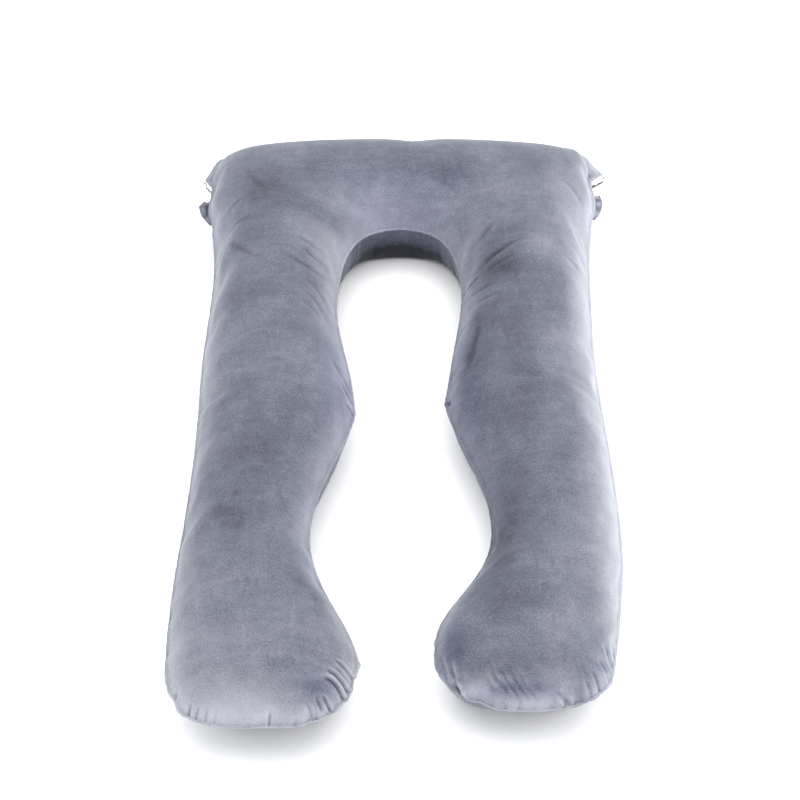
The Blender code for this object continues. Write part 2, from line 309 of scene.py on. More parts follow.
# Soft creases that run out from the neck arch's shoulders and across the head's corners.
ARCH_CREASES = (
    Crease(((-0.352, 0.356), (-0.312, 0.312), (-0.282, 0.274), (-0.238, 0.246)), 0.0075, 0.0012,
           (0.0, 1.0, 0.6, 0.0), (0.5, 0.1)),
    Crease(((-0.236, 0.282), (-0.200, 0.262), (-0.165, 0.254), (-0.134, 0.266)), 0.0060, 0.0015,
           (0.0, 0.6, 1.0, 0.0), (0.5, 0.2)),
    Crease(((-0.206, 0.312), (-0.170, 0.290), (-0.131, 0.288)), 0.0055, 0.0013),
    Crease(((-0.190, 0.232), (-0.156, 0.206), (-0.136, 0.176)), 0.0055, 0.0015, (0.0, 0.8, 0.4)),
    Crease(((-0.196, 0.200), (-0.160, 0.174), (-0.138, 0.144)), 0.0050, 0.0013, (0.0, 0.8, 0.4)),
    Crease(((-0.188, 0.166), (-0.160, 0.146), (-0.142, 0.120)), 0.0050, 0.0009),
    Crease(((-0.214, 0.336), (-0.170, 0.318), (-0.134, 0.316)), 0.0065, 0.0012),
    Crease(((-0.350, 0.366), (-0.324, 0.386), (-0.292, 0.388)), 0.0060, 0.0012),
    Crease(((-0.352, 0.420), (-0.330, 0.446), (-0.300, 0.452)), 0.0060, 0.0009),
    Crease(((-0.322, 0.532), (-0.294, 0.500), (-0.268, 0.456)), 0.0080, 0.0008),
    Crease(((0.138, 0.262), (0.172, 0.284), (0.208, 0.306), (0.250, 0.324)), 0.0070, 0.0016,
           (0.0, 1.0, 0.8, 0.0), (0.3, 0.3)),
    Crease(((0.146, 0.242), (0.186, 0.262), (0.226, 0.276)), 0.0060, 0.0010),
    Crease(((0.132, 0.332), (0.157, 0.354), (0.190, 0.388)), 0.0075, 0.0011),
    Crease(((0.121, 0.250), (0.134, 0.249), (0.154, 0.252)), 0.0042, 0.0022, (0.5, 1.0, 0.0),
           (0.6, 0.1)),
    Crease(((0.124, 0.218), (0.152, 0.210), (0.190, 0.208)), 0.0060, 0.0013, (0.3, 1.0, 0.0)),
    Crease(((0.128, 0.186), (0.160, 0.176), (0.196, 0.176)), 0.0060, 0.0010, (0.3, 1.0, 0.0)),
    Crease(((0.300, 0.296), (0.334, 0.280), (0.360, 0.270)), 0.0060, 0.0014),
    Crease(((0.318, 0.340), (0.346, 0.322), (0.364, 0.300)), 0.0060, 0.0009),
    Crease(((0.326, 0.396), (0.352, 0.366), (0.364, 0.330)), 0.0070, 0.0013),
    Crease(((0.314, 0.520), (0.350, 0.498), (0.372, 0.462)), 0.0080, 0.0013),
)
# Cross-sections of the cloth under an ear, from the seam outwards and back: the share of
# the strip's reach, what is added to it, and the height.
CASING_SECTION = (
    (0.0, -0.0020, 0.0978),
    (0.45, 0.0, 0.0978),
    (0.86, 0.0, 0.0974),
    (1.0, 0.0, 0.0962),
    (0.84, 0.0, 0.0950),
    (0.30, 0.0, 0.0948),
    (0.0, -0.0005, 0.0950),
)
LEFT_HEM_SECTION = (
    (0.10, 0.0, 0.0925),
    (0.60, 0.0008, 0.0922),
    (1.0, 0.0024, 0.0928),
    (1.0, 0.0030, 0.0942),
    (1.0, 0.0018, 0.0952),
)
RIGHT_HEM_SECTION = (
    (0.03, 0.0, 0.0795),
    (0.35, 0.0, 0.0830),
    (0.70, 0.0002, 0.0885),
    (0.96, 0.0014, 0.0925),
    (1.0, 0.0026, 0.0946),
)
# The painted shade on the panel's hem at an ear's tip; below 0 it is painted light, lighter than the
# rest.
HEM_TIP_SHADE = -1.1
# How far each strip reaches out from the seam, by its share of the way down from the tip.
LEFT_REACH = (
    (0.0, 0.0010),
    (0.10, 0.0024),
    (0.25, 0.0044),
    (0.52, 0.0086),
    (0.70, 0.0098),
    (0.86, 0.0062),
    (1.0, 0.0010),
)
RIGHT_REACH = (
    (0.0, 0.0010),
    (0.12, 0.0030),
    (0.40, 0.0072),
    (0.72, 0.0190),
    (0.85, 0.0190),
    (1.0, 0.0135),
)
# The thickness of the casing and of the hem, and how much further down the hem runs.
CASING_THICKNESS = 0.0007
HEM_THICKNESS = 0.0012
HEM_EXTRA = 0.0015
# The folded cloth under each ear; each hem's shade is painted shade at its inner end, below 0
# painted light.
EAR_CLOTHS = (
    EarCloth(Side.LEFT, 0.610, LEFT_HEM_SECTION, LEFT_REACH, -0.90, None, 0.033,
             (0.012, 0.036), (0.010, 0.036)),
    EarCloth(Side.RIGHT, 0.631, RIGHT_HEM_SECTION, RIGHT_REACH, -0.10, 0.0934, 0.0275,
             (0.022, 0.032), (0.018, 0.032)),
)
TAB_THICKNESS = 0.0014
# Each tab from its top to its foot: the y it is sewn in at, its edge's y, how far that edge
# stands out from the seam, and how far it hangs down.
LEFT_TAB_ROWS = (
    (0.545, 0.556, 0.015, 0.012),
    (0.538, 0.550, 0.027, 0.018),
    (0.523, 0.531, 0.021, 0.021),
    (0.503, 0.508, 0.0130, 0.0175),
    (0.472, 0.472, 0.0032, 0.004),
)
RIGHT_TAB_ROWS = (
    (0.566, 0.577, 0.017, 0.012),
    (0.558, 0.568, 0.020, 0.018),
    (0.544, 0.552, 0.019, 0.021),
    (0.520, 0.526, 0.013, 0.018),
    (0.488, 0.489, 0.0035, 0.004),
)
# The fold inside each ear, where the flat corner leaves the filling.
EAR_CREASES = (
    Crease(((-0.380, 0.658), (-0.385, 0.648), (-0.393, 0.629), (-0.399, 0.607)), 0.0022, 0.0034,
           (0.0, 1.0, 1.0, 0.8), (0.1, 0.5)),
    Crease(((0.387, 0.645), (0.391, 0.633), (0.395, 0.621), (0.3985, 0.610)), 0.0026, 0.0056,
           (0.0, 0.5, 1.0, 1.0), (0.3, 0.1)),
)
# Patches of pile tone and of painted light and shade, lighter where shift is above 0 and darker
# below it: some where a hand has brushed the pile, others painted light, such as on the right ear,
# the right rims and the left toe's front slope, and painted shade, such as in bands at the toes.
TONE_AND_LIGHT_PATCHES = (
    Patch(-0.230, -0.020, 0.080, 0.280, -0.06),
    Patch(-0.300, -0.320, 0.080, 0.090, -0.12),
    Patch(-0.235, -0.215, 0.070, 0.075, -0.16),
    Patch(-0.305, -0.090, 0.050, 0.060, -0.10),
    Patch(-0.310, 0.150, 0.045, 0.070, -0.10),
    Patch(-0.128, -0.470, 0.025, 0.050, -0.12),
    Patch(0.260, 0.560, 0.070, 0.070, -0.11),
    Patch(0.150, -0.360, 0.034, 0.090, -0.32),
    Patch(-0.300, -0.600, 0.090, 0.070, 0.09),
    Patch(-0.354, -0.610, 0.022, 0.070, 0.14),
    Patch(-0.270, -0.658, 0.110, 0.018, 0.10),
    Patch(0.230, -0.540, 0.100, 0.070, -0.04),
    Patch(0.225, -0.040, 0.085, 0.300, -0.12),
    Patch(0.120, 0.020, 0.035, 0.120, -0.14),
    Patch(0.110, -0.280, 0.040, 0.160, -0.24),
    Patch(-0.125, 0.040, 0.030, 0.080, 0.05),
    Patch(0.076, -0.031, 0.0034, 0.006, -0.60),
    Patch(-0.160, 0.350, 0.070, 0.060, 0.16),
    Patch(-0.055, 0.462, 0.115, 0.034, 0.27),
    Patch(0.060, 0.535, 0.120, 0.034, -0.15),
    Patch(0.010, 0.590, 0.100, 0.040, -0.10),
    Patch(-0.240, 0.470, 0.110, 0.100, -0.14),
    Patch(-0.312, 0.345, 0.045, 0.080, -0.10),
    Patch(0.190, 0.260, 0.060, 0.060, -0.17),
    Patch(-0.250, 0.250, 0.080, 0.080, -0.06),
    Patch(0.330, 0.470, 0.050, 0.110, 0.11),
    Patch(0.270, 0.040, 0.050, 0.060, 0.06),
    Patch(0.200, -0.270, 0.050, 0.130, -0.05),
    Patch(0.156, 0.131, 0.035, 0.050, -0.12),
    Patch(0.336, 0.200, 0.028, 0.180, 0.16),
    Patch(0.336, -0.040, 0.030, 0.110, 0.15),
    Patch(0.285, -0.010, 0.040, 0.050, 0.11),
    Patch(0.262, 0.285, 0.045, 0.045, 0.15),
    Patch(0.334, -0.360, 0.032, 0.210, 0.22),
    Patch(0.152, -0.530, 0.050, 0.050, -0.14),
    Patch(0.262, -0.555, 0.035, 0.060, 0.10),
    Patch(0.296, -0.640, 0.028, 0.024, -0.24),
    Patch(0.140, -0.635, 0.050, 0.018, -0.09),
    Patch(0.215, 0.341, 0.040, 0.040, -0.10),
    Patch(-0.125, -0.160, 0.034, 0.070, -0.05),
    Patch(-0.112, -0.120, 0.010, 0.030, 0.14),
    Patch(-0.395, 0.628, 0.018, 0.028, 0.10),
    Patch(0.404, 0.650, 0.022, 0.040, 0.36),
    Patch(-0.240, -0.686, 0.080, 0.020, 0.31),
    Patch(-0.126, -0.660, 0.034, 0.018, -0.20),
    Patch(0.184, -0.656, 0.056, 0.007, -0.28),
    Patch(0.190, -0.672, 0.056, 0.007, 0.18),
    Patch(0.116, -0.655, 0.022, 0.012, 0.16),
    Patch(0.080, -0.590, 0.020, 0.050, -0.18),
    Patch(0.270, -0.655, 0.013, 0.010, -0.30),
    Patch(0.320, -0.600, 0.020, 0.030, -0.14),
)
# Where the velvet is painted more blue, from 0 to 1: partly its blue-violet smears, partly a painted
# shade tint on the inner sides and in the shaded bands at the toes.
BLUE_TONE_AND_SHADE = (
    Patch(-0.112, -0.020, 0.040, 0.180, 0.9),
    Patch(0.112, 0.000, 0.040, 0.170, 0.9),
    Patch(0.110, -0.300, 0.045, 0.170, 1.0),
    Patch(-0.150, -0.320, 0.040, 0.120, 0.7),
    Patch(-0.130, -0.656, 0.040, 0.024, 0.8),
    Patch(0.180, -0.655, 0.080, 0.012, 1.0),
    Patch(0.076, -0.580, 0.024, 0.060, 1.0),
    Patch(0.300, -0.620, 0.030, 0.050, 0.6),
)
# Small pushes on the filled shape: where in plan, how wide, and which way.
NUDGES = (
    Nudge(0.372, 0.676, 0.026, (0.003, 0.006, 0.003)),
    Nudge(-0.384, 0.664, 0.024, (-0.002, 0.004, 0.001)),
    Nudge(0.420, 0.631, 0.014, (0.003, 0.0, 0.0)),
    Nudge(-0.064, -0.590, 0.010, (0.004, 0.0, 0.0)),
    Nudge(-0.071, -0.621, 0.009, (-0.004, 0.002, 0.0)),
)
# Where each side seam runs below its ear, as y and x.
SIDE_SEAMS = {
    Side.LEFT: (
        (0.453, -0.3815),
        (0.472, -0.3860),
        (0.500, -0.3944),
        (0.521, -0.3968),
        (0.547, -0.3950),
        (0.576, -0.3946),
        (0.587, -0.3952),
        (0.610, -0.4120),
    ),
    Side.RIGHT: (
        (0.453, 0.3826),
        (0.478, 0.3880),
        (0.509, 0.3964),
        (0.531, 0.3995),
        (0.557, 0.4004),
        (0.586, 0.3972),
        (0.609, 0.3990),
        (0.631, 0.4225),
    ),
}


def smooth_step(value: np.ndarray, low: float, high: float) -> np.ndarray:
    """Ramps from 0 at low to 1 at high.

    Args:
        value: Numbers to ramp.
        low: Where the ramp starts.
        high: Where the ramp ends.

    Returns:
        The ramped numbers, each from 0 to 1.
    """
    share = np.clip((value - low) / (high - low), 0.0, 1.0)
    return share * share * (3.0 - 2.0 * share)


def blend(start: float, end: float, share: float) -> float:
    """Returns a value part of the way from start to end."""
    return start + (end - start) * share


def coordinates(mesh: bpy.types.Mesh) -> np.ndarray:
    """Reads a mesh's vertices.

    Args:
        mesh: The mesh to read.

    Returns:
        One row of x, y and z for each vertex.
    """
    flat = np.zeros(len(mesh.vertices) * 3)
    mesh.vertices.foreach_get("co", flat)
    return flat.reshape(-1, 3)


def normals(mesh: bpy.types.Mesh) -> np.ndarray:
    """Reads a mesh's vertex normals.

    Args:
        mesh: The mesh to read.

    Returns:
        One unit row for each vertex.
    """
    flat = np.zeros(len(mesh.vertices) * 3)
    mesh.vertex_normals.foreach_get("vector", flat)
    return flat.reshape(-1, 3)


def write_coordinates(mesh: bpy.types.Mesh, points: np.ndarray) -> None:
    """Puts a mesh's vertices at new places.

    Args:
        mesh: The mesh to change.
        points: One row for each vertex.
    """
    mesh.vertices.foreach_set("co", points.astype(np.float32).ravel())
    mesh.update()


def write_mask(
    mesh: bpy.types.Mesh, name: str, values: np.ndarray, domain: str = "POINT"
) -> None:
    """Keeps one number for each vertex or edge under a name.

    Args:
        mesh: The mesh to add the attribute to.
        name: The attribute's name.
        values: One number for each vertex or edge.
        domain: POINT for vertices or EDGE for edges.
    """
    layer = mesh.attributes.new(name, "FLOAT", domain)
    layer.data.foreach_set("value", values.astype(np.float32))


def drop_creases(mesh: bpy.types.Mesh) -> None:
    """Removes the crease layers that a mesh has."""
    for name in CREASE_LAYERS:
        old = mesh.attributes.get(name)
        if old is not None:
            mesh.attributes.remove(old)


def edge_pairs(mesh: bpy.types.Mesh) -> np.ndarray:
    """Reads the two vertex numbers of every edge.

    Args:
        mesh: The mesh to read.

    Returns:
        One row of two vertex numbers for each edge.
    """
    flat = np.zeros(len(mesh.edges) * 2, dtype=np.int64)
    mesh.edges.foreach_get("vertices", flat)
    return flat.reshape(-1, 2)


def averaged(values: np.ndarray, pairs: np.ndarray, rounds: int) -> np.ndarray:
    """Spreads a value over its neighbours along the edges.

    Args:
        values: One number for each vertex.
        pairs: The two vertices of each edge.
        rounds: How many times to average.

    Returns:
        The smoothed numbers.
    """
    count = np.bincount(pairs.ravel(), minlength=len(values)).astype(float)
    result = values.astype(float)
    for _ in range(rounds):
        total = np.bincount(pairs[:, 0], result[pairs[:, 1]], len(values))
        total += np.bincount(pairs[:, 1], result[pairs[:, 0]], len(values))
        result = 0.4 * result + 0.6 * total / np.maximum(count, 1.0)
    return result


def averaged_rows(rows: np.ndarray, pairs: np.ndarray, rounds: int) -> np.ndarray:
    """Smooths each column of a table over the mesh's edges.

    Args:
        rows: One row for each vertex.
        pairs: The two vertices of each edge.
        rounds: How many times to average.

    Returns:
        The smoothed table.
    """
    return np.stack([averaged(column, pairs, rounds) for column in rows.T], axis=1)


def bell(distance: np.ndarray, width: float) -> np.ndarray:
    """Returns 1 where the distance is 0, falling softly towards 0 past the width."""
    return np.exp(-((distance / width) ** 2))


def patched(points: np.ndarray, patches: tuple[Patch, ...]) -> np.ndarray:
    """Adds up soft patches at each point.

    Args:
        points: The points.
        patches: Where each patch is in plan, how wide, and how strong.

    Returns:
        One number for each point.
    """
    total = np.zeros(len(points))
    for patch in patches:
        spread = ((points[:, 0] - patch.x) / patch.half_x) ** 2
        spread += ((points[:, 1] - patch.y) / patch.half_y) ** 2
        total += patch.shift * np.exp(-spread)
    return total


def along_path(points: np.ndarray, path: tuple[Pair, ...]) -> tuple[np.ndarray, np.ndarray]:
    """Measures how far places in plan are from a path and how far along it they are.

    Args:
        points: Rows of x and y.
        path: The path's corners in plan.

    Returns:
        The distance from the path, above 0 on its left, and the share of its length.
    """
    corners = np.array(path)
    steps = np.diff(corners, axis=0)
    lengths = np.linalg.norm(steps, axis=1)
    starts = np.concatenate(([0.0], np.cumsum(lengths)))
    best = np.full(len(points), np.inf)
    share = np.zeros(len(points))
    for index, step in enumerate(steps):
        offset = points - corners[index]
        where = np.clip(offset @ step / lengths[index] ** 2, 0.0, 1.0)
        gap = offset - where[:, None] * step
        distance = np.linalg.norm(gap, axis=1)
        nearer = distance < np.abs(best)
        turn = np.where(step[0] * offset[:, 1] - step[1] * offset[:, 0] < 0, -1.0, 1.0)
        best[nearer] = (distance * turn)[nearer]
        share[nearer] = ((starts[index] + where * lengths[index]) / starts[-1])[nearer]
    return best, share


def new_piece(name: str, mesh: bpy.types.Mesh, finish: bpy.types.Material) -> bpy.types.Object:
    """Wraps a mesh as a smooth-shaded object with its material.

    Args:
        name: The piece's name.
        mesh: Its mesh, in place in the frame.
        finish: Its material.

    Returns:
        The new object, linked to the scene.
    """
    mesh.name = name
    made = bpy.data.objects.new(name, mesh)
    mesh.materials.clear()
    mesh.materials.append(finish)
    mesh.shade_smooth()
    bpy.context.scene.collection.objects.link(made)
    return made


def applied(piece: bpy.types.Object) -> bpy.types.Mesh:
    """Turns a piece with its modifiers into a plain mesh and removes the piece.

    Args:
        piece: The object whose finished shape is wanted.

    Returns:
        The finished mesh.
    """
    evaluated = piece.evaluated_get(bpy.context.evaluated_depsgraph_get())
    mesh = bpy.data.meshes.new_from_object(evaluated)
    bpy.data.objects.remove(piece, do_unlink=True)
    return mesh


def add_node(
    tree: bpy.types.NodeTree, kind: str, inputs: dict[str | int, Value] | None = None
) -> bpy.types.Node:
    """Adds a node to a tree and sets its inputs.

    Args:
        tree: The tree that gets the node.
        kind: The node's type.
        inputs: The inputs' values, by name or number.

    Returns:
        The new node.
    """
    made = tree.nodes.new(kind)
    for place, value in (inputs or {}).items():
        made.inputs[place].default_value = value
    return made


def add_math(
    tree: bpy.types.NodeTree, operation: str, second: float | None = None
) -> bpy.types.Node:
    """Adds a math node to a tree.

    Args:
        tree: The tree that gets the node.
        operation: What the node works out.
        second: Its second number, if it is a fixed one.

    Returns:
        The new node.
    """
    made = add_node(tree, "ShaderNodeMath", None if second is None else {1: second})
    made.operation = operation
    return made


def add_mask(tree: bpy.types.NodeTree, name: str) -> bpy.types.NodeSocket:
    """Returns the socket that reads one of the mesh's masks in a material."""
    mask = add_node(tree, "ShaderNodeAttribute")
    mask.attribute_name = name
    return mask.outputs["Fac"]


def join(tree: bpy.types.NodeTree, wires: tuple[Wire, ...]) -> None:
    """Links outputs to inputs.

    Args:
        tree: The tree that holds the nodes.
        wires: For each link a node, its output, the next node and that node's input.
    """
    for source, output, target, place in wires:
        tree.links.new(source.outputs[output], target.inputs[place])


def add_bump(
    tree: bpy.types.NodeTree, height: bpy.types.NodeSocket, strength: float, distance: float
) -> None:
    """Bumps a material's surface by a height.

    Args:
        tree: The material's node tree.
        height: The height, from 0 to 1.
        strength: How strongly the bump shows.
        distance: How high it stands, in metres.
    """
    bump = add_node(tree, "ShaderNodeBump", {"Strength": strength, "Distance": distance})
    tree.links.new(height, bump.inputs["Height"])
    tree.links.new(bump.outputs["Normal"], tree.nodes["Principled BSDF"].inputs["Normal"])


def start_material(name: str, inputs: dict[str, Value]) -> bpy.types.Material:
    """Makes a material and sets its shader's inputs.

    Args:
        name: The material's name.
        inputs: The values of the shader's inputs, by name.

    Returns:
        The new material.
    """
    made = bpy.data.materials.new(name)
    made.use_nodes = True
    shader = made.node_tree.nodes["Principled BSDF"]
    for place, value in inputs.items():
        shader.inputs[place].default_value = value
    return made


@dataclass
class PillowPattern:
    """The cover's cut: its ribs, from which the filled shape is lofted."""

    middle_x: float = 0.003
    middle_y: float = 0.696
    seam_height: float = 0.100
    welt_thickness: float = 0.004
    crown_power: float = 2.5
    side_power: float = 0.70
    leg_underside: Underside = Underside(0.70, 1.7)
    head_underside: Underside = Underside(0.84, 2.0)
    toe_underside: Underside = Underside(0.36, 1.1)
    right_toe_underside: Underside = Underside(0.13, 1.1)
    top_steps: int = 4
    under_steps: int = 2
    floor_rings: Pair = (0.88, 0.0)
    arch_top: float = 1.150
    back_seam: float = 1.399
    middle_crown: float = 0.202
    seam_share: float = 0.75
    left_toe: Triple = (0.1245, 3.20, 2.65)
    right_toe: Triple = (0.095, 2.50, 2.00)
    weld: float = 1e-5

    def plan(self, side: int, x: float, y: float) -> Vector:
        """Returns a table's place in the object's frame, seen from above."""
        return Vector((side * x - self.middle_x, y - self.middle_y))

    def half_rib(
        self,
        spine: Vector,
        seam: Vector,
        crown: float,
        underside: Underside,
        welt: float = WELT,
        gather: float = 0.0,
        reach: float = 0.0,
        sharp: bool = False,
    ) -> HalfRib:
        """Makes the points from the crown over to the seam, then under to the floor.

        Args:
            spine: The middle of the rib, seen from above.
            seam: The rib's end at the seam, seen from above.
            crown: The height at the spine.
            underside: Its shape below the seam.
            welt: The flat width outside the filling.
            gather: How deep the cover is drawn in at the seam.
            reach: How far that fold runs up the panel, as a share of the half rib.
            sharp: Whether the seam has a point there.

        Returns:
            The half rib.
        """
        inward = (spine - seam).normalized()
        filling = seam + inward * (welt + gather)
        half_welt = self.welt_thickness / 2
        points = []
        for step in range(self.top_steps + 1):
            along = math.sin(math.pi / 2 * step / self.top_steps)
            full = (1 - along**self.crown_power) ** self.side_power
            rise = (crown - self.seam_height - half_welt) * full
            fold = gather * max(0.0, 1 - (1 - along) / reach) if reach else 0.0
            top = self.seam_height + half_welt + rise - min(fold, rise)
            points.append(Vector((*spine.lerp(filling, along), top)))
        points.append(Vector((*(seam + inward * gather * self.seam_share), self.seam_height)))
        for step in range(self.under_steps + 1):
            turn = math.pi / 2 * step / self.under_steps
            power = 2 / underside.fullness
            along = underside.contact + (1 - underside.contact) * math.cos(turn) ** power
            under = (self.seam_height - half_welt) * (1 - math.sin(turn) ** power)
            points.append(Vector((*spine.lerp(filling, along), under)))
        for ring in self.floor_rings:
            points.append(Vector((*spine.lerp(filling, underside.contact * ring), 0.0)))
        return HalfRib(points, sharp)

    def leg_seams(self, side: int, row: LegRib) -> tuple[Vector, Vector]:
        """Returns where a leg rib meets its outer and its inner seam."""
        outer, inner = row.right_outer, row.right_inner
        if side < 0:
            outer, inner = row.left_outer, row.left_inner
        return self.plan(side, outer, row.y), self.plan(side, inner, row.y)

    def body_ribs(self, side: int) -> tuple[list[HalfRib], list[HalfRib]]:
        """Makes the half ribs of one leg and its half of the head bar.

        Args:
            side: -1 on the left and 1 on the right.

        Returns:
            The outer half ribs and the inner ones, from the toe to the middle line.
        """
        outer_half, inner_half = [], []
        leg = self.leg_underside
        for row in LEG_RIBS:
            outer, inner = self.leg_seams(side, row)
            spine = (outer + inner) / 2
            outer_half.append(self.half_rib(spine, outer, row.crown, leg))
            inner_half.append(
                self.half_rib(spine, inner, row.crown, leg, sharp=row.point == side)
            )
        for row in HEAD_RIBS:
            reach = row.left if side < 0 else row.right
            outer = self.plan(side, reach.x, reach.y)
            inner = self.plan(side, row.inner_x, row.inner_y)
            spine = (outer + inner) / 2
            outer_half.append(
                self.half_rib(
                    spine, outer, row.crown, self.head_underside, welt=reach.welt, sharp=row.ear
                )
            )
            inner_half.append(self.half_rib(spine, inner, row.crown, self.head_underside))
        return outer_half, inner_half

    def toe_ribs(self, side: int) -> list[HalfRib]:
        """Makes the half ribs that fan round a toe, from its outer to its inner side.

        Args:
            side: -1 on the left and 1 on the right.

        Returns:
            The half ribs.
        """
        depth, outer_power, inner_power = self.left_toe if side < 0 else self.right_toe
        rows = LEFT_TOE_RIBS if side < 0 else RIGHT_TOE_RIBS
        first = LEG_RIBS[0]
        outer, inner = self.leg_seams(side, first)
        spine = (outer + inner) / 2
        half_width = (outer - inner).length / 2
        leg = self.leg_underside
        toe = self.toe_underside if side < 0 else self.right_toe_underside
        ribs = []
        for row in rows:
            turn = math.radians(row.angle)
            across, down = math.cos(turn), math.sin(turn)
            power = blend(outer_power, inner_power, row.angle / 180)
            size = (abs(across) / half_width) ** power + (down / depth) ** power
            seam = spine + Vector((side * across, -down)) * size ** (-1 / power)
            underside = Underside(
                blend(leg.contact, toe.contact, down), blend(leg.fullness, toe.fullness, down)
            )
            ribs.append(
                self.half_rib(
                    spine, seam, first.crown, underside, gather=row.gather, reach=row.reach
                )
            )
        return ribs

    def perimeter(self) -> list[HalfRib]:
        """Returns every half rib in order, all the way round the pillow's seam."""
        left_outer, left_inner = self.body_ribs(-1)
        right_outer, right_inner = self.body_ribs(1)
        arch = self.plan(1, 0.0, self.arch_top)
        back = self.plan(1, 0.0, self.back_seam)
        spine = (arch + back) / 2
        return (
            [self.half_rib(spine, back, self.middle_crown, self.head_underside)]
            + left_outer[::-1]
            + self.toe_ribs(-1)
            + left_inner
            + [self.half_rib(spine, arch, self.middle_crown, self.head_underside)]
            + right_inner[::-1]
            + self.toe_ribs(1)[::-1]
            + right_outer
        )

    def cage(self) -> tuple[bpy.types.Mesh, list[Vector]]:
        """Lofts the ribs into a closed cage, with its seam creased.

        Returns:
            The cage and the places where the seam comes to a point.
        """
        ribs = self.perimeter()
        bm = bmesh.new()
        edge_crease = bm.edges.layers.float.new("crease_edge")
        point_crease = bm.verts.layers.float.new("crease_vert")
        seam_mark = bm.verts.layers.float.new("seam_mark")
        columns = [[bm.verts.new(point) for point in rib.points] for rib in ribs]
        seam_row = self.top_steps + 1
        points = []
        for index, column in enumerate(columns):
            before = columns[index - 1]
            for row in range(len(column) - 1):
                bm.faces.new((before[row], column[row], column[row + 1], before[row + 1]))
            bm.edges.get((before[seam_row], column[seam_row]))[edge_crease] = 1.0
            column[seam_row][seam_mark] = 1.0
            if ribs[index].sharp:
                column[seam_row][point_crease] = 1.0
                points.append(ribs[index].points[seam_row].copy())
        bmesh.ops.remove_doubles(bm, verts=bm.verts, dist=self.weld)
        bmesh.ops.recalc_face_normals(bm, faces=bm.faces)
        mesh = bpy.data.meshes.new("cover_cage")
        bm.to_mesh(mesh)
        bm.free()
        return mesh, points


@dataclass(frozen=True)
class PaintedSlopeLight:
    """How much painted light goes on each slope, rim and crease lip, how much painted shade on the
    lower panel and the arch's wall, and where that starts.

    A leg's pair is for its slopes that face left, then for those that face right.
    """

    rounds: int = 6
    steepness: Pair = (0.10, 0.70)
    toe_range: Pair = (-0.62, -0.50)
    arch_range: Pair = (0.20, 0.36)
    panel_edge: Pair = (0.007, 0.001)
    toe: float = 0.46
    left_leg: Pair = (0.28, 0.47)
    right_leg: Pair = (0.24, 0.66)
    rim: float = 0.10
    lip: float = 0.22
    under: float = 0.02
    wall: float = 1.5
    wall_power: float = 1.8
    wall_lift: float = 0.08


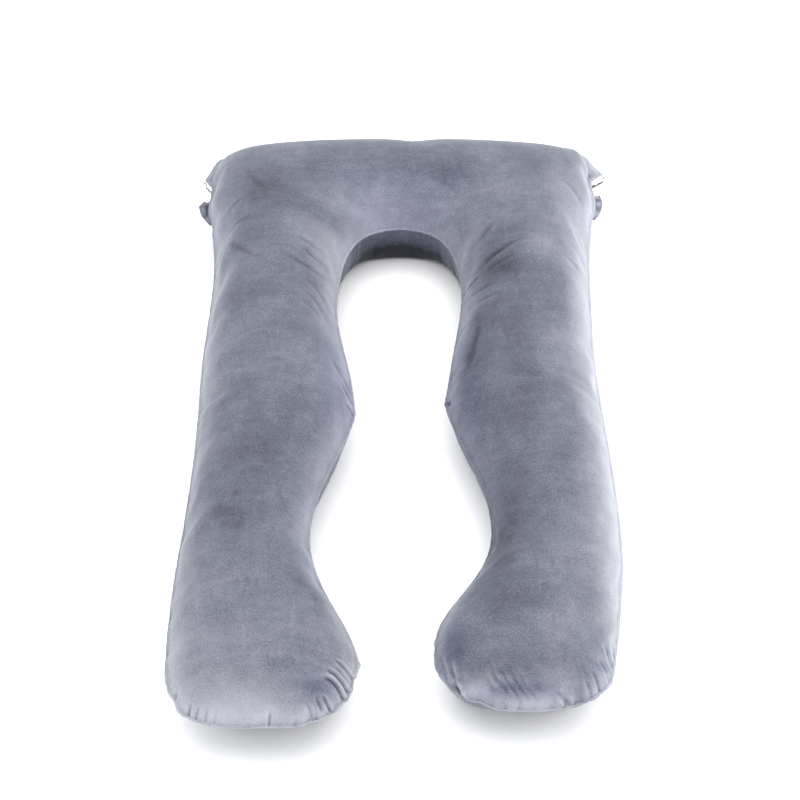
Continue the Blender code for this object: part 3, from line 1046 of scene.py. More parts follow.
@dataclass
class FilledCover:
    """The velvet cover with its filling: two panels, one seam, gathers and soft creases."""

    pattern: PillowPattern
    velvet: bpy.types.Material
    # The painted light and shade on the slopes, rims and lips.
    shine: PaintedSlopeLight = PaintedSlopeLight()
    # The cloth under the filling's pressure.
    cloth_frames: int = 20
    pressure: float = 4.0
    slack: float = -0.035
    floor_grip: float = 0.004
    wave_clear: float = 0.03
    wrinkle_share: float = 0.55
    wrinkle_cap: float = 0.006
    broad_rounds: int = 24
    # The seam's mark, and the finer faces beside a crease.
    seam_share: float = 0.999
    fine_edge: float = 0.0034
    fine_rounds: int = 2
    fine_drop: float = 0.001
    fine_reach: float = 2.4
    # The puckers along the seam, deeper round the toes.
    pucker_spacing: float = 0.017
    pucker_gap: Pair = (0.45, 1.7)
    pucker_width: Pair = (0.0022, 0.0048)
    pucker_strength: Pair = (0.25, 1.0)
    pucker_depth: float = 0.0011
    toe_pucker_depth: float = 0.0020
    pucker_reach: float = 0.017
    pucker_clear: Pair = (0.02, 0.06)
    seam_pull: float = 0.9
    pull_reach: float = 0.008
    toe_line: float = -0.540
    toe_run: float = 0.10
    # Where the side seams are set below the ears.
    side_line: float = 0.33
    side_middle: float = 0.52
    side_half: float = 0.14
    side_reach: float = 0.035
    side_top_fade: Pair = (0.003, 0.004)
    side_foot_fade: Pair = (0.020, 0.010)
    # The creases, and the masks of painted light and shade that the velvet reads.
    rim_width: float = 0.010
    full_depth: float = 0.005
    full_lip: float = 0.6
    lip_offset: float = 1.7
    fold_rise: Pair = (0.0005, 0.003)
    fold_start: Pair = (0.0005, 0.005)
    shadow_place: float = 0.004
    shadow_width: float = 0.003
    gather_shadow: float = 0.5
    seed: int = 23
    fill: float = 0.85

    def smoothed(self, mesh: bpy.types.Mesh, levels: int, on_surface: bool) -> bpy.types.Mesh:
        """Subdivides a mesh.

        Args:
            mesh: The mesh, with its creases.
            levels: How many times to subdivide.
            on_surface: Whether points go to the final smooth surface.

        Returns:
            The subdivided mesh.
        """
        trial = new_piece("cover_trial", mesh, self.velvet)
        smoothing = trial.modifiers.new("Fullness", "SUBSURF")
        smoothing.levels = levels
        smoothing.render_levels = levels
        smoothing.use_limit_surface = on_surface
        return applied(trial)

    def seam_flags(self, mesh: bpy.types.Mesh) -> np.ndarray:
        """Returns True for each vertex that is on the seam."""
        marks = np.zeros(len(mesh.vertices), np.float32)
        mesh.attributes["seam_mark"].data.foreach_get("value", marks)
        return marks > self.seam_share

    def mark_seam(self, mesh: bpy.types.Mesh, sharp_points: list[Vector]) -> None:
        """Creases the seam's edges and its points again after a subdivision.

        Args:
            mesh: The subdivided mesh.
            sharp_points: Where the seam comes to a point.
        """
        points = coordinates(mesh)
        on_seam = self.seam_flags(mesh)
        pairs = edge_pairs(mesh)
        drop_creases(mesh)
        write_mask(mesh, "crease_edge", on_seam[pairs].all(axis=1), "EDGE")
        tips = np.zeros(len(points))
        for place in sharp_points:
            tips[np.argmin(np.linalg.norm(points - np.array(place), axis=1))] = 1.0
        write_mask(mesh, "crease_vert", tips)

    def blown_up(self, mesh: bpy.types.Mesh, pinned: np.ndarray) -> np.ndarray:
        """Lets slack cloth swell under the filling's pressure, sewn down at the seam.

        Args:
            mesh: The smooth shape that the cloth starts from.
            pinned: True for each vertex that stays where it is.

        Returns:
            Where the cloth's vertices come to rest.
        """
        trial = new_piece("cover_cloth", mesh.copy(), self.velvet)
        held = trial.vertex_groups.new(name="sewn")
        held.add([int(i) for i in np.flatnonzero(pinned)], 1.0, "REPLACE")
        cloth = trial.modifiers.new("Filling", "CLOTH")
        settings = cloth.settings
        settings.quality = 4
        settings.mass = 0.3
        settings.air_damping = 3.0
        settings.tension_stiffness = 20.0
        settings.compression_stiffness = 20.0
        settings.shear_stiffness = 5.0
        settings.bending_stiffness = 0.3
        settings.use_pressure = True
        settings.uniform_pressure_force = self.pressure
        settings.shrink_min = self.slack
        settings.vertex_group_mass = "sewn"
        settings.effector_weights.gravity = 0.0
        cloth.collision_settings.use_collision = False
        cloth.collision_settings.use_self_collision = False
        cloth.point_cache.frame_start = 1
        cloth.point_cache.frame_end = self.cloth_frames
        scene = bpy.context.scene
        for number in range(1, self.cloth_frames + 1):
            scene.frame_set(number)
        rested = trial.evaluated_get(bpy.context.evaluated_depsgraph_get()).to_mesh()
        result = coordinates(rested)
        bpy.data.objects.remove(trial, do_unlink=True)
        scene.frame_set(1)
        return result

    def settle(self, mesh: bpy.types.Mesh) -> None:
        """Gives the smooth shape the small waves that its slack cloth makes.

        Args:
            mesh: The shape to change, one subdivision short of finished.
        """
        points = coordinates(mesh)
        outward = normals(mesh)
        pinned = self.seam_flags(mesh) | (points[:, 2] < self.floor_grip)
        rested = self.blown_up(mesh, pinned)
        swell = ((rested - points) * outward).sum(axis=1)
        broad = averaged(swell, edge_pairs(mesh), self.broad_rounds)
        wave = np.clip((swell - broad) * self.wrinkle_share, -self.wrinkle_cap, self.wrinkle_cap)
        wave *= smooth_step(points[:, 2], self.floor_grip, self.wave_clear)
        wave[pinned] = 0.0
        log.info("cloth waves from %.1f to %.1f mm", wave.min() * 1000, wave.max() * 1000)
        write_coordinates(mesh, points + outward * wave[:, None])

    def refined(self, mesh: bpy.types.Mesh, creases: tuple[Crease, ...]) -> None:
        """Splits the faces that a crease runs over, so that its sides come out round.

        Args:
            mesh: The mesh to change.
            creases: Every crease.
        """
        bm = bmesh.new()
        bm.from_mesh(mesh)
        for _ in range(self.fine_rounds):
            bm.faces.ensure_lookup_table()
            centres = np.array([face.calc_center_median() for face in bm.faces])
            above = centres[:, 2] > self.pattern.seam_height - self.fine_drop
            near = np.zeros(len(centres), dtype=bool)
            for crease in creases:
                distance, _ = along_path(centres[:, :2], crease.path)
                near |= above & (np.abs(distance) < self.fine_reach * crease.width)
            edges = set()
            for index in np.flatnonzero(near):
                for edge in bm.faces[index].edges:
                    if edge.calc_length() > self.fine_edge:
                        edges.add(edge)
            bmesh.ops.subdivide_edges(bm, edges=list(edges), cuts=1, use_grid_fill=True)
        bm.to_mesh(mesh)
        bm.free()

    def seam_line(self, mesh: bpy.types.Mesh) -> np.ndarray:
        """Walks round the seam's vertices.

        Args:
            mesh: The finished mesh, before the seam is puckered.

        Returns:
            The seam's vertex numbers in order.
        """
        on_seam = self.seam_flags(mesh)
        pairs = edge_pairs(mesh)
        pairs = pairs[on_seam[pairs].all(axis=1)]
        links: dict[int, list[int]] = {}
        for first, second in pairs.tolist():
            links.setdefault(first, []).append(second)
            links.setdefault(second, []).append(first)
        start = pairs[0, 0].item()
        line = [start]
        before, here = start, links[start][0]
        while here != start:
            line.append(here)
            ahead = [other for other in links[here] if other != before]
            before, here = here, ahead[0]
        return np.array(line)

    def shape(self, mesh: bpy.types.Mesh, line: np.ndarray) -> None:
        """Sets the side seams and gives the filled shape its small pushes.

        Args:
            mesh: The mesh to change.
            line: The seam's vertex numbers in order.
        """
        points = coordinates(mesh)
        seam = points[line]
        for side, places in SIDE_SEAMS.items():
            table = np.array(places)
            beside = seam[:, 0] * side.value > self.side_line
            near = seam[beside & (np.abs(seam[:, 1] - self.side_middle) < self.side_half)]
            near = near[np.argsort(near[:, 1])]
            now = np.interp(points[:, 1], near[:, 1], near[:, 0])
            want = np.interp(points[:, 1], table[:, 0], table[:, 1])
            foot, top = table[0, 0], table[-1, 0]
            rise, drop = self.side_foot_fade, self.side_top_fade
            part = smooth_step(points[:, 1], foot - rise[0], foot + rise[1])
            part *= 1.0 - smooth_step(points[:, 1], top - drop[0], top + drop[1])
            part *= bell(points[:, 0] - now, self.side_reach)
            points[:, 0] += (want - now) * part
        for nudge in NUDGES:
            away = (points[:, 0] - nudge.x) ** 2 + (points[:, 1] - nudge.y) ** 2
            points += np.exp(-away / nudge.reach**2)[:, None] * np.array(nudge.push)
        write_coordinates(mesh, points)

    def pucker(
        self, mesh: bpy.types.Mesh, line: np.ndarray
    ) -> tuple[np.ndarray, np.ndarray, np.ndarray]:
        """Draws the panels in along the seam by small uneven amounts, most at the toes.

        Args:
            mesh: The mesh to change.
            line: The seam's vertex numbers in order.

        Returns:
            For each vertex, its distance from the seam in plan, how far it was drawn in, and
            the way out across the seam nearest to it.
        """
        points = coordinates(mesh)
        outward = normals(mesh)
        seam = points[line]
        steps = np.linalg.norm(np.diff(seam, axis=0, append=seam[:1]), axis=1)
        travel = np.concatenate(([0.0], np.cumsum(steps)[:-1]))
        rng = np.random.default_rng(self.seed)
        drawn = np.zeros(len(seam))
        place = 0.0
        length = float(steps.sum())
        while place < length:
            gap = np.abs(travel - place)
            gap = np.minimum(gap, length - gap)
            width = rng.uniform(*self.pucker_width)
            drawn += rng.uniform(*self.pucker_strength) * bell(gap, width)
            place += self.pucker_spacing * rng.uniform(*self.pucker_gap)
        toe = 1.0 - smooth_step(seam[:, 1], self.toe_line, self.toe_line + self.toe_run)
        drawn *= self.pucker_depth + (self.toe_pucker_depth - self.pucker_depth) * toe
        tree = KDTree(len(seam))
        for index, place_on_seam in enumerate(seam):
            tree.insert(Vector((place_on_seam[0], place_on_seam[1], 0.0)), index)
        tree.balance()
        found = [tree.find(Vector((x, y, 0.0))) for x, y, _ in points]
        nearest = np.array([hit[1] for hit in found])
        distance = np.array([hit[2] for hit in found])
        amount = drawn[nearest] * np.exp(-distance / self.pucker_reach)
        clear = smooth_step(points[:, 2], *self.pucker_clear)
        move = outward * (-amount * clear)[:, None]
        after, before = np.roll(seam, -1, axis=0), np.roll(seam, 1, axis=0)
        sideways = np.stack([-after[:, 1], after[:, 0]], axis=1)
        sideways += np.stack([before[:, 1], -before[:, 0]], axis=1)
        sideways /= np.linalg.norm(sideways, axis=1)[:, None]
        turning = np.sum(seam[:, 0] * after[:, 1] - seam[:, 1] * after[:, 0])
        sideways *= 1.0 if turning > 0 else -1.0
        pull = drawn[nearest] * self.seam_pull * np.exp(-distance / self.pull_reach)
        on_line = np.zeros(len(points), dtype=bool)
        on_line[line] = True
        move[on_line] = 0.0
        move[:, :2] += sideways[nearest] * pull[:, None]
        write_coordinates(mesh, points + move)
        return distance, amount, -sideways[nearest]

    def fold(
        self, mesh: bpy.types.Mesh, creases: tuple[Crease, ...], distance: np.ndarray
    ) -> tuple[np.ndarray, np.ndarray]:
        """Presses every crease into the top panel and raises its lips.

        Args:
            mesh: The mesh to change.
            creases: Every crease.
            distance: Each vertex's distance from the seam in plan.

        Returns:
            The painted shade in each crease, by how deep in it each vertex is, and the painted
            highlight on its lips, by how high on a lip, both from 0 to 1.
        """
        points = coordinates(mesh)
        outward = normals(mesh)
        seam = self.pattern.seam_height
        below, over = self.fold_rise
        free = smooth_step(points[:, 2], seam - below, seam + over)
        free *= smooth_step(distance, *self.fold_start)
        move = np.zeros(len(points))
        painted_shade = np.zeros(len(points))
        shine = np.zeros(len(points))
        for crease in creases:
            gap, share = along_path(points[:, :2], crease.path)
            marks = np.linspace(0.0, 1.0, len(crease.strength))
            strength = np.interp(share, marks, crease.strength)
            strength = smooth_step(strength, 0.0, 1.0)
            aside = self.lip_offset * crease.width
            trough = bell(gap, crease.width)
            left = crease.lips[0] * bell(gap - aside, crease.width)
            right = crease.lips[1] * bell(gap + aside, crease.width)
            move += crease.depth * strength * (left + right - trough)
            share = strength * min(1.0, crease.depth / self.full_depth)
            # painted shade in the crease's trough and painted highlight on its lips
            painted_shade = np.maximum(painted_shade, trough**2 * share)
            shine = np.maximum(shine, np.maximum(left, right) * share)
        write_coordinates(mesh, points + outward * (move * free)[:, None])
        return painted_shade * free, shine * free / self.full_lip

    def painted_light_and_pile_tone(
        self, mesh: bpy.types.Mesh, distance: np.ndarray, out: np.ndarray, lips: np.ndarray
    ) -> np.ndarray:
        """Works out the painted light and shade on the velvet, with the pile's tone patches: lighter
        on slopes by which way they face, along the seam's rims and on the creases' lips, and darker
        below the seam and on the arch's wall.

        Args:
            mesh: The finished mesh.
            distance: Each vertex's distance from the seam in plan.
            out: The way out across the seam nearest to each vertex.
            lips: The painted highlight on the creases' lips, by how high on a lip each vertex is.

        Returns:
            One number for each vertex: 0 for the flat top, above 0 lighter, below 0 darker.
        """
        points = coordinates(mesh)
        look = self.shine
        facing = averaged_rows(normals(mesh), edge_pairs(mesh), look.rounds)
        rim = bell(distance, self.rim_width)
        slope = np.maximum(smooth_step(1.0 - facing[:, 2], *look.steepness), rim)
        facing[:, :2] = facing[:, :2] * (1.0 - rim)[:, None] + out * rim[:, None]
        towards_toe = np.clip(-facing[:, 1], 0.0, 1.0)
        towards_right = np.clip(facing[:, 0], 0.0, 1.0)
        towards_left = np.clip(-facing[:, 0], 0.0, 1.0)
        seam = self.pattern.seam_height
        above = smooth_step(points[:, 2], seam - look.panel_edge[0], seam - look.panel_edge[1])
        toe = 1.0 - smooth_step(points[:, 1], *look.toe_range)
        on_right = points[:, 0] > 0.0
        leftwards = np.where(on_right, look.right_leg[0], look.left_leg[0])
        rightwards = np.where(on_right, look.right_leg[1], look.left_leg[1])
        # painted light on the slopes that face the toe, the left and the right
        light_and_tone = slope * (look.toe * towards_toe * toe + rightwards * towards_right)
        light_and_tone += slope * leftwards * towards_left
        # painted highlight along the seam where it faces forward, away from the toes
        light_and_tone += look.rim * rim * towards_toe * (1.0 - toe)
        # the pile's tone patches, many of them painted light and shade
        light_and_tone += patched(points, TONE_AND_LIGHT_PATCHES)
        light_and_tone = (light_and_tone + look.lip * lips) * above
        # painted shade below the seam: the lower panel, and the arch's wall darker towards the floor
        arch = smooth_step(points[:, 1], *look.arch_range) * towards_toe
        low = np.clip(1.0 - points[:, 2] / seam, 0.0, 1.0)
        wall = look.wall * low**look.wall_power - look.wall_lift
        light_and_tone -= (look.under + arch * wall) * (1.0 - above)
        return light_and_tone

    def blue_tone_and_shade(self, mesh: bpy.types.Mesh) -> np.ndarray:
        """Returns how much more blue each vertex is painted, from 0 to 1: the patches, and a painted
        shade tint on the arch's wall.
        """
        points = coordinates(mesh)
        wall = smooth_step(points[:, 1], *self.shine.arch_range)
        wall = wall * np.clip(-normals(mesh)[:, 1], 0.0, 1.0)
        return np.clip(patched(points, BLUE_TONE_AND_SHADE) + wall, 0.0, 1.0)

    def seam_shadow(self, distance: np.ndarray, drawn: np.ndarray) -> np.ndarray:
        """Returns how shaded each vertex is beside the seam and in its gathers, from 0 to 1."""
        line = bell(distance - self.shadow_place, self.shadow_width)
        gathers = drawn / self.toe_pucker_depth * self.gather_shadow
        return np.clip(line + gathers, 0.0, 1.0)

    def build(self) -> tuple[bpy.types.Object, np.ndarray]:
        """Makes the filled cover.

        Returns:
            The finished piece and its seam's vertex numbers in order.
        """
        creases = (
            LEFT_TOE_CREASES + RIGHT_TOE_CREASES + BELLY_CREASES + ARCH_CREASES + EAR_CREASES
        )
        cage, sharp_points = self.pattern.cage()
        mesh = self.smoothed(cage, 2, False)
        self.mark_seam(mesh, sharp_points)
        self.settle(mesh)
        mesh = self.smoothed(mesh, 1, True)
        self.refined(mesh, creases)
        line = self.seam_line(mesh)
        self.shape(mesh, line)
        distance, drawn, out = self.pucker(mesh, line)
        painted_shade, lips = self.fold(mesh, creases, distance)
        masks = {
            "painted_light_and_pile_tone": self.painted_light_and_pile_tone(mesh, distance, out, lips),
            "painted_shade": painted_shade,
            "blue_tone_and_shade": self.blue_tone_and_shade(mesh),
            "seam_shadow": self.seam_shadow(distance, drawn),
        }
        for name, values in masks.items():
            write_mask(mesh, name, values)
        drop_creases(mesh)
        cover = new_piece("velvet_cushion", mesh, self.velvet)
        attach(cover, "root")
        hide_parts("cushion")
        return cover, line


@dataclass
class SeamStitches:
    """The line of stitches that holds the welt, just inside the seam on the top panel."""

    cover: bpy.types.Object
    line: np.ndarray
    thread: bpy.types.Material
    inset: float = 0.0042
    spacing: float = 0.0044
    stitch_length: float = 0.0032
    thread_radius: float = 0.00042
    lift: float = 0.4
    probe_height: float = 0.3
    unevenness: Pair = (0.86, 1.08)
    seed: int = 7

    def below(self, surface: BVHTree, place: np.ndarray) -> Vector | None:
        """Returns the point of the top panel under a place in plan, if there is one."""
        start = Vector((*place, self.probe_height))
        return surface.ray_cast(start, Vector((0, 0, -1)))[0]

    def path_mesh(self) -> bpy.types.Mesh:
        """Lays the stitching line on the finished cover.

        Returns:
            A closed line of points just above the top panel.
        """
        points = coordinates(self.cover.data)[self.line]
        ahead = np.roll(points, -1, axis=0) - np.roll(points, 1, axis=0)
        ahead /= np.linalg.norm(ahead, axis=1)[:, None]
        across = np.stack([-ahead[:, 1], ahead[:, 0]], axis=1)
        surface = BVHTree.FromObject(self.cover, bpy.context.evaluated_depsgraph_get())
        inward = self.below(surface, points[0, :2] + across[0] * self.inset) is not None
        sign = 1.0 if inward else -1.0
        path = []
        for place, sideways in zip(points, across):
            hit = self.below(surface, place[:2] + sideways * sign * self.inset)
            if hit is not None:
                path.append(hit + Vector((0, 0, self.thread_radius * self.lift)))
        mesh = bpy.data.meshes.new("stitching_line")
        edges = [(index, (index + 1) % len(path)) for index in range(len(path))]
        mesh.from_pydata(path, edges, [])
        return mesh

    def tree(self) -> bpy.types.NodeTree:
        """Builds the stitches' node tree.

        Returns:
            The tree, with named inputs for the stitch's sizes.
        """
        tree = bpy.data.node_groups.new("welt_stitches", "GeometryNodeTree")
        for name, kind in (
            ("Line", "Geometry"),
            ("Spacing", "Float"),
            ("Stitch Length", "Float"),
            ("Thread Radius", "Float"),
            ("Seed", "Int"),
            ("Thread", "Material"),
        ):
            tree.interface.new_socket(name, in_out="INPUT", socket_type=f"NodeSocket{kind}")
        tree.interface.new_socket("Stitches", in_out="OUTPUT", socket_type="NodeSocketGeometry")
        source = add_node(tree, "NodeGroupInput")
        result = add_node(tree, "NodeGroupOutput")
        curve = add_node(tree, "GeometryNodeMeshToCurve")
        places = add_node(tree, "GeometryNodeResampleCurve")
        places.mode = "LENGTH"
        ball = {"Segments": 6, "Rings": 4, "Radius": 1.0}
        stitch = add_node(tree, "GeometryNodeMeshUVSphere", ball)
        half = add_math(tree, "MULTIPLY", 0.5)
        shape = add_node(tree, "ShaderNodeCombineXYZ")
        stretch = add_node(tree, "GeometryNodeTransform")
        tangent = add_node(tree, "GeometryNodeInputTangent")
        turn = add_node(tree, "FunctionNodeAlignRotationToVector")
        turn.axis = "Z"
        uneven = add_node(tree, "FunctionNodeRandomValue")
        uneven.data_type = "FLOAT"
        uneven.inputs[2].default_value, uneven.inputs[3].default_value = self.unevenness
        copies = add_node(tree, "GeometryNodeInstanceOnPoints")
        real = add_node(tree, "GeometryNodeRealizeInstances")
        finish = add_node(tree, "GeometryNodeSetMaterial")
        join(tree, (
            (source, "Line", curve, "Mesh"),
            (curve, "Curve", places, "Curve"),
            (source, "Spacing", places, "Length"),
            (source, "Stitch Length", half, 0),
            (source, "Thread Radius", shape, "X"),
            (source, "Thread Radius", shape, "Y"),
            (half, "Value", shape, "Z"),
            (stitch, "Mesh", stretch, "Geometry"),
            (shape, "Vector", stretch, "Scale"),
            (tangent, "Tangent", turn, "Vector"),
            (source, "Seed", uneven, "Seed"),
            (places, "Curve", copies, "Points"),
            (stretch, "Geometry", copies, "Instance"),
            (turn, "Rotation", copies, "Rotation"),
            (uneven, 1, copies, "Scale"),
            (copies, "Instances", real, "Geometry"),
            (real, "Geometry", finish, "Geometry"),
            (source, "Thread", finish, "Material"),
            (finish, "Geometry", result, "Stitches"),
        ))
        return tree

    def build(self) -> bpy.types.Object:
        """Makes the stitches as one plain mesh.

        Returns:
            The finished piece.
        """
        tree = self.tree()
        guide = new_piece("stitching_guide", self.path_mesh(), self.thread)
        modifier = guide.modifiers.new("Stitches", "NODES")
        modifier.node_group = tree
        values = {
            "Spacing": self.spacing,
            "Stitch Length": self.stitch_length,
            "Thread Radius": self.thread_radius,
            "Seed": self.seed,
            "Thread": self.thread,
        }
        for item in tree.interface.items_tree:
            if item.in_out == "INPUT" and item.name in values:
                modifier[item.identifier] = values[item.name]
        stitches = new_piece("seam_stitches", applied(guide), self.thread)
        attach(stitches, "root")
        return stitches


@dataclass
class ClothStrip:
    """Loose cloth sewn in at the side seam: a grid of points with its thickness."""

    name: str
    side: Side
    cover: bpy.types.Object
    surface: BVHTree
    finish: bpy.types.Material
    thickness: float
    slot: str

    def seam_reach(self, y: float) -> float:
        """Returns how far the finished side seam reaches out along X at one y."""
        start = Vector((self.side.value * 1.0, y, SEAM_PROBE_HEIGHT))
        return self.surface.ray_cast(start, Vector((-self.side.value, 0.0, 0.0)))[0].x

    def strip(self, rows: list[list[Vector]], masks: dict[str, np.ndarray]) -> bpy.types.Object:
        """Makes the cloth from its rows of points.

        Args:
            rows: The points, one row after another, all of one length.
            masks: Numbers for each point that the material reads, by name.

        Returns:
            The finished piece, with its thickness and one subdivision.
        """
        bm = bmesh.new()
        grid = [[bm.verts.new(point) for point in row] for row in rows]
        for before, after in zip(grid, grid[1:]):
            for column in range(len(before) - 1):
                bm.faces.new(
                    (before[column], before[column + 1], after[column + 1], after[column])
                )
        bmesh.ops.recalc_face_normals(bm, faces=bm.faces)
        mesh = bpy.data.meshes.new(self.name)
        bm.to_mesh(mesh)
        bm.free()
        for name, values in masks.items():
            write_mask(mesh, name, values)
        piece = new_piece(self.name, mesh, self.finish)
        solid = piece.modifiers.new("Thickness", "SOLIDIFY")
        solid.thickness = self.thickness
        solid.offset = 0.0
        smoothing = piece.modifiers.new("Softness", "SUBSURF")
        smoothing.levels = 1
        smoothing.render_levels = 1
        return new_piece(self.name, applied(piece), self.finish)


@dataclass
class EarEdge(ClothStrip):
    """Folded cloth that follows the seam down from an ear's tip, under the top panel."""

    tip_y: float
    section: tuple[Triple, ...]
    reaches: tuple[Pair, ...]
    shade: float = 0.0
    tip_shade: float = 0.0
    start: float = -0.003
    length: float = 0.033
    curl: float | None = None
    curl_start: float = 0.95
    curl_run: float = 0.05
    waviness: float = 0.0005
    waves: float = 11.0
    shade_power: float = 2.5
    steps: int = 22
    flat: Pair = (0.016, 0.036)

    def height(self, share: float, level: float) -> float:
        """Returns a point's height: its section's, or the curl's at the strip's lower end."""
        if self.curl is None:
            return level
        along = max(0.0, (share - self.curl_start) / self.curl_run)
        return blend(level, max(level, self.curl), along)

    def build(self, node: str | None = None) -> bpy.types.Object:
        """Makes the folded edge.

        Args:
            node: The CAD node that it stands for, if any.

        Returns:
            The finished piece.
        """
        side = self.side.value
        marks, widths = zip(*self.reaches)
        rows = []
        for step in range(self.steps + 1):
            share = step / self.steps
            y = self.tip_y - self.start - share * self.length
            seam = self.seam_reach(y)
            reach = float(np.interp(share, marks, widths))
            dip = self.waviness * math.sin(share * self.waves)
            row = []
            for part, beyond, level in self.section:
                x = seam + side * (reach * part + beyond)
                row.append(Vector((x, y, self.height(share, level) + dip)))
            rows.append(row)
        # painted shade along the hem, from the tip's painted light to its inner end
        shades = np.linspace(0.0, 1.0, len(rows)) ** self.shade_power
        shades = self.tip_shade + (self.shade - self.tip_shade) * shades
        piece = self.strip(rows, {"painted_shade": np.repeat(shades, len(self.section))})
        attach(piece, "root")
        if node:
            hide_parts(node)
        return piece


@dataclass
class SideTab(ClothStrip):
    """The loose tab of cover cloth below an ear, with its small folds."""

    rows: tuple[tuple[float, float, float, float], ...]
    # painted shadow in the gap at the tab's root, painted highlights on its ridges and a lighter
    # painted base
    root_shade: float = 1.0
    ridge_shine: float = 0.12
    base_shine: float = 0.0
    steps: int = 20
    across: int = 8
    clearance: float = 0.0007
    out_power: float = 1.25
    drop_power: float = 2.4
    ripple: float = 0.0016
    ripples: float = 2.6
    twist: float = 1.4
    gap_shadow_place: Pair = (0.20, 0.45)
    gap_shadow_size: Pair = (0.17, 0.22)
    flat: Pair = (0.060, 0.052)
    area: float = 0.0020

    def build(self, node: str) -> bpy.types.Object:
        """Makes the tab.

        Args:
            node: The CAD node that it stands for.

        Returns:
            The finished piece.
        """
        side = self.side.value
        table = np.array(self.rows)
        marks = np.linspace(0.0, 1.0, len(table))
        grid, gap_shadows, ridges = [], [], []
        for step in range(self.steps + 1):
            share = step / self.steps
            y, edge_y, out, drop = (
                float(np.interp(share, marks, table[:, column])) for column in range(4)
            )
            depth = ((share - self.gap_shadow_place[1]) / self.gap_shadow_size[1]) ** 2
            points = []
            for column in range(self.across + 1):
                along = column / self.across
                place = blend(y, edge_y, along)
                seam = abs(self.seam_reach(place))
                x = self.clearance + (out - self.clearance) * along**self.out_power
                z = TAB_HEIGHT - drop * (1.0 - (1.0 - along) ** self.drop_power)
                turn = share * self.ripples * 2 * math.pi + self.twist * along
                wave = self.ripple * along * math.sin(turn)
                points.append(Vector((side * (seam + x), place, z + wave)))
                # painted shadow in the gap between the tab's root and the body's roll
                inside = ((along - self.gap_shadow_place[0]) / self.gap_shadow_size[0]) ** 2
                gap_shadows.append(self.root_shade * math.exp(-inside - depth))
                # painted highlights on the ripples' ridges, over a lighter painted base
                shine = self.ridge_shine * math.sin(turn) * math.sin(math.pi * along) ** 0.5
                ridges.append(self.base_shine + shine)
            grid.append(points)
        masks = {"painted_shade": np.array(gap_shadows), "painted_light_and_pile_tone": np.array(ridges)}
        piece = self.strip(grid, masks)
        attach(piece, "root")
        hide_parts(node)
        return piece


class PileGrain:
    """A shader node group for short pile: brushed patches, grain and its bump height."""

    def build(self) -> bpy.types.NodeTree:
        """Makes the group.

        Returns:
            The group, which puts out a patch mask, a grain mask and a height.
        """
        tree = bpy.data.node_groups.new("pile_grain", "ShaderNodeTree")
        sockets = tree.interface
        for name, value in (("Patch Scale", 7.0), ("Stroke Scale", 34.0), ("Grain Scale", 420.0)):
            made = sockets.new_socket(name, in_out="INPUT", socket_type="NodeSocketFloat")
            made.default_value = value
        for name in ("Patch", "Stroke", "Smear", "Grain", "Height"):
            sockets.new_socket(name, in_out="OUTPUT", socket_type="NodeSocketFloat")
        source = add_node(tree, "NodeGroupInput")
        result = add_node(tree, "NodeGroupOutput")
        place = add_node(tree, "ShaderNodeTexCoord")
        tilt = {"Scale": (1.0, 0.62, 1.0), "Rotation": (0.0, 0.0, 0.5)}
        flatten = add_node(tree, "ShaderNodeMapping", tilt)
        patch = add_node(tree, "ShaderNodeTexNoise", {"Detail": 3.0, "Distortion": 0.6})
        stroke = add_node(tree, "ShaderNodeTexNoise", {"Detail": 4.0, "Distortion": 1.2})
        drawn = add_node(tree, "ShaderNodeMapping", {"Scale": (0.28, 1.5, 1.0)})
        streaks = {"Detail": 3.0, "Distortion": 0.5, "Scale": 46.0}
        smear = add_node(tree, "ShaderNodeTexNoise", streaks)
        grain = add_node(tree, "ShaderNodeTexNoise", {"Detail": 2.0})
        fibre = add_node(tree, "ShaderNodeTexNoise", {"Detail": 1.0, "Scale": 1500.0})
        height = add_math(tree, "MULTIPLY_ADD", 0.45)
        join(tree, (
            (place, "Object", flatten, "Vector"),
            (place, "Object", patch, "Vector"),
            (flatten, "Vector", stroke, "Vector"),
            (place, "Object", drawn, "Vector"),
            (drawn, "Vector", smear, "Vector"),
            (place, "Object", grain, "Vector"),
            (place, "Object", fibre, "Vector"),
            (source, "Patch Scale", patch, "Scale"),
            (source, "Stroke Scale", stroke, "Scale"),
            (source, "Grain Scale", grain, "Scale"),
            (fibre, "Fac", height, 0),
            (grain, "Fac", height, 2),
            (patch, "Fac", result, "Patch"),
            (stroke, "Fac", result, "Stroke"),
            (smear, "Fac", result, "Smear"),
            (grain, "Fac", result, "Grain"),
            (height, "Value", result, "Height"),
        ))
        return tree


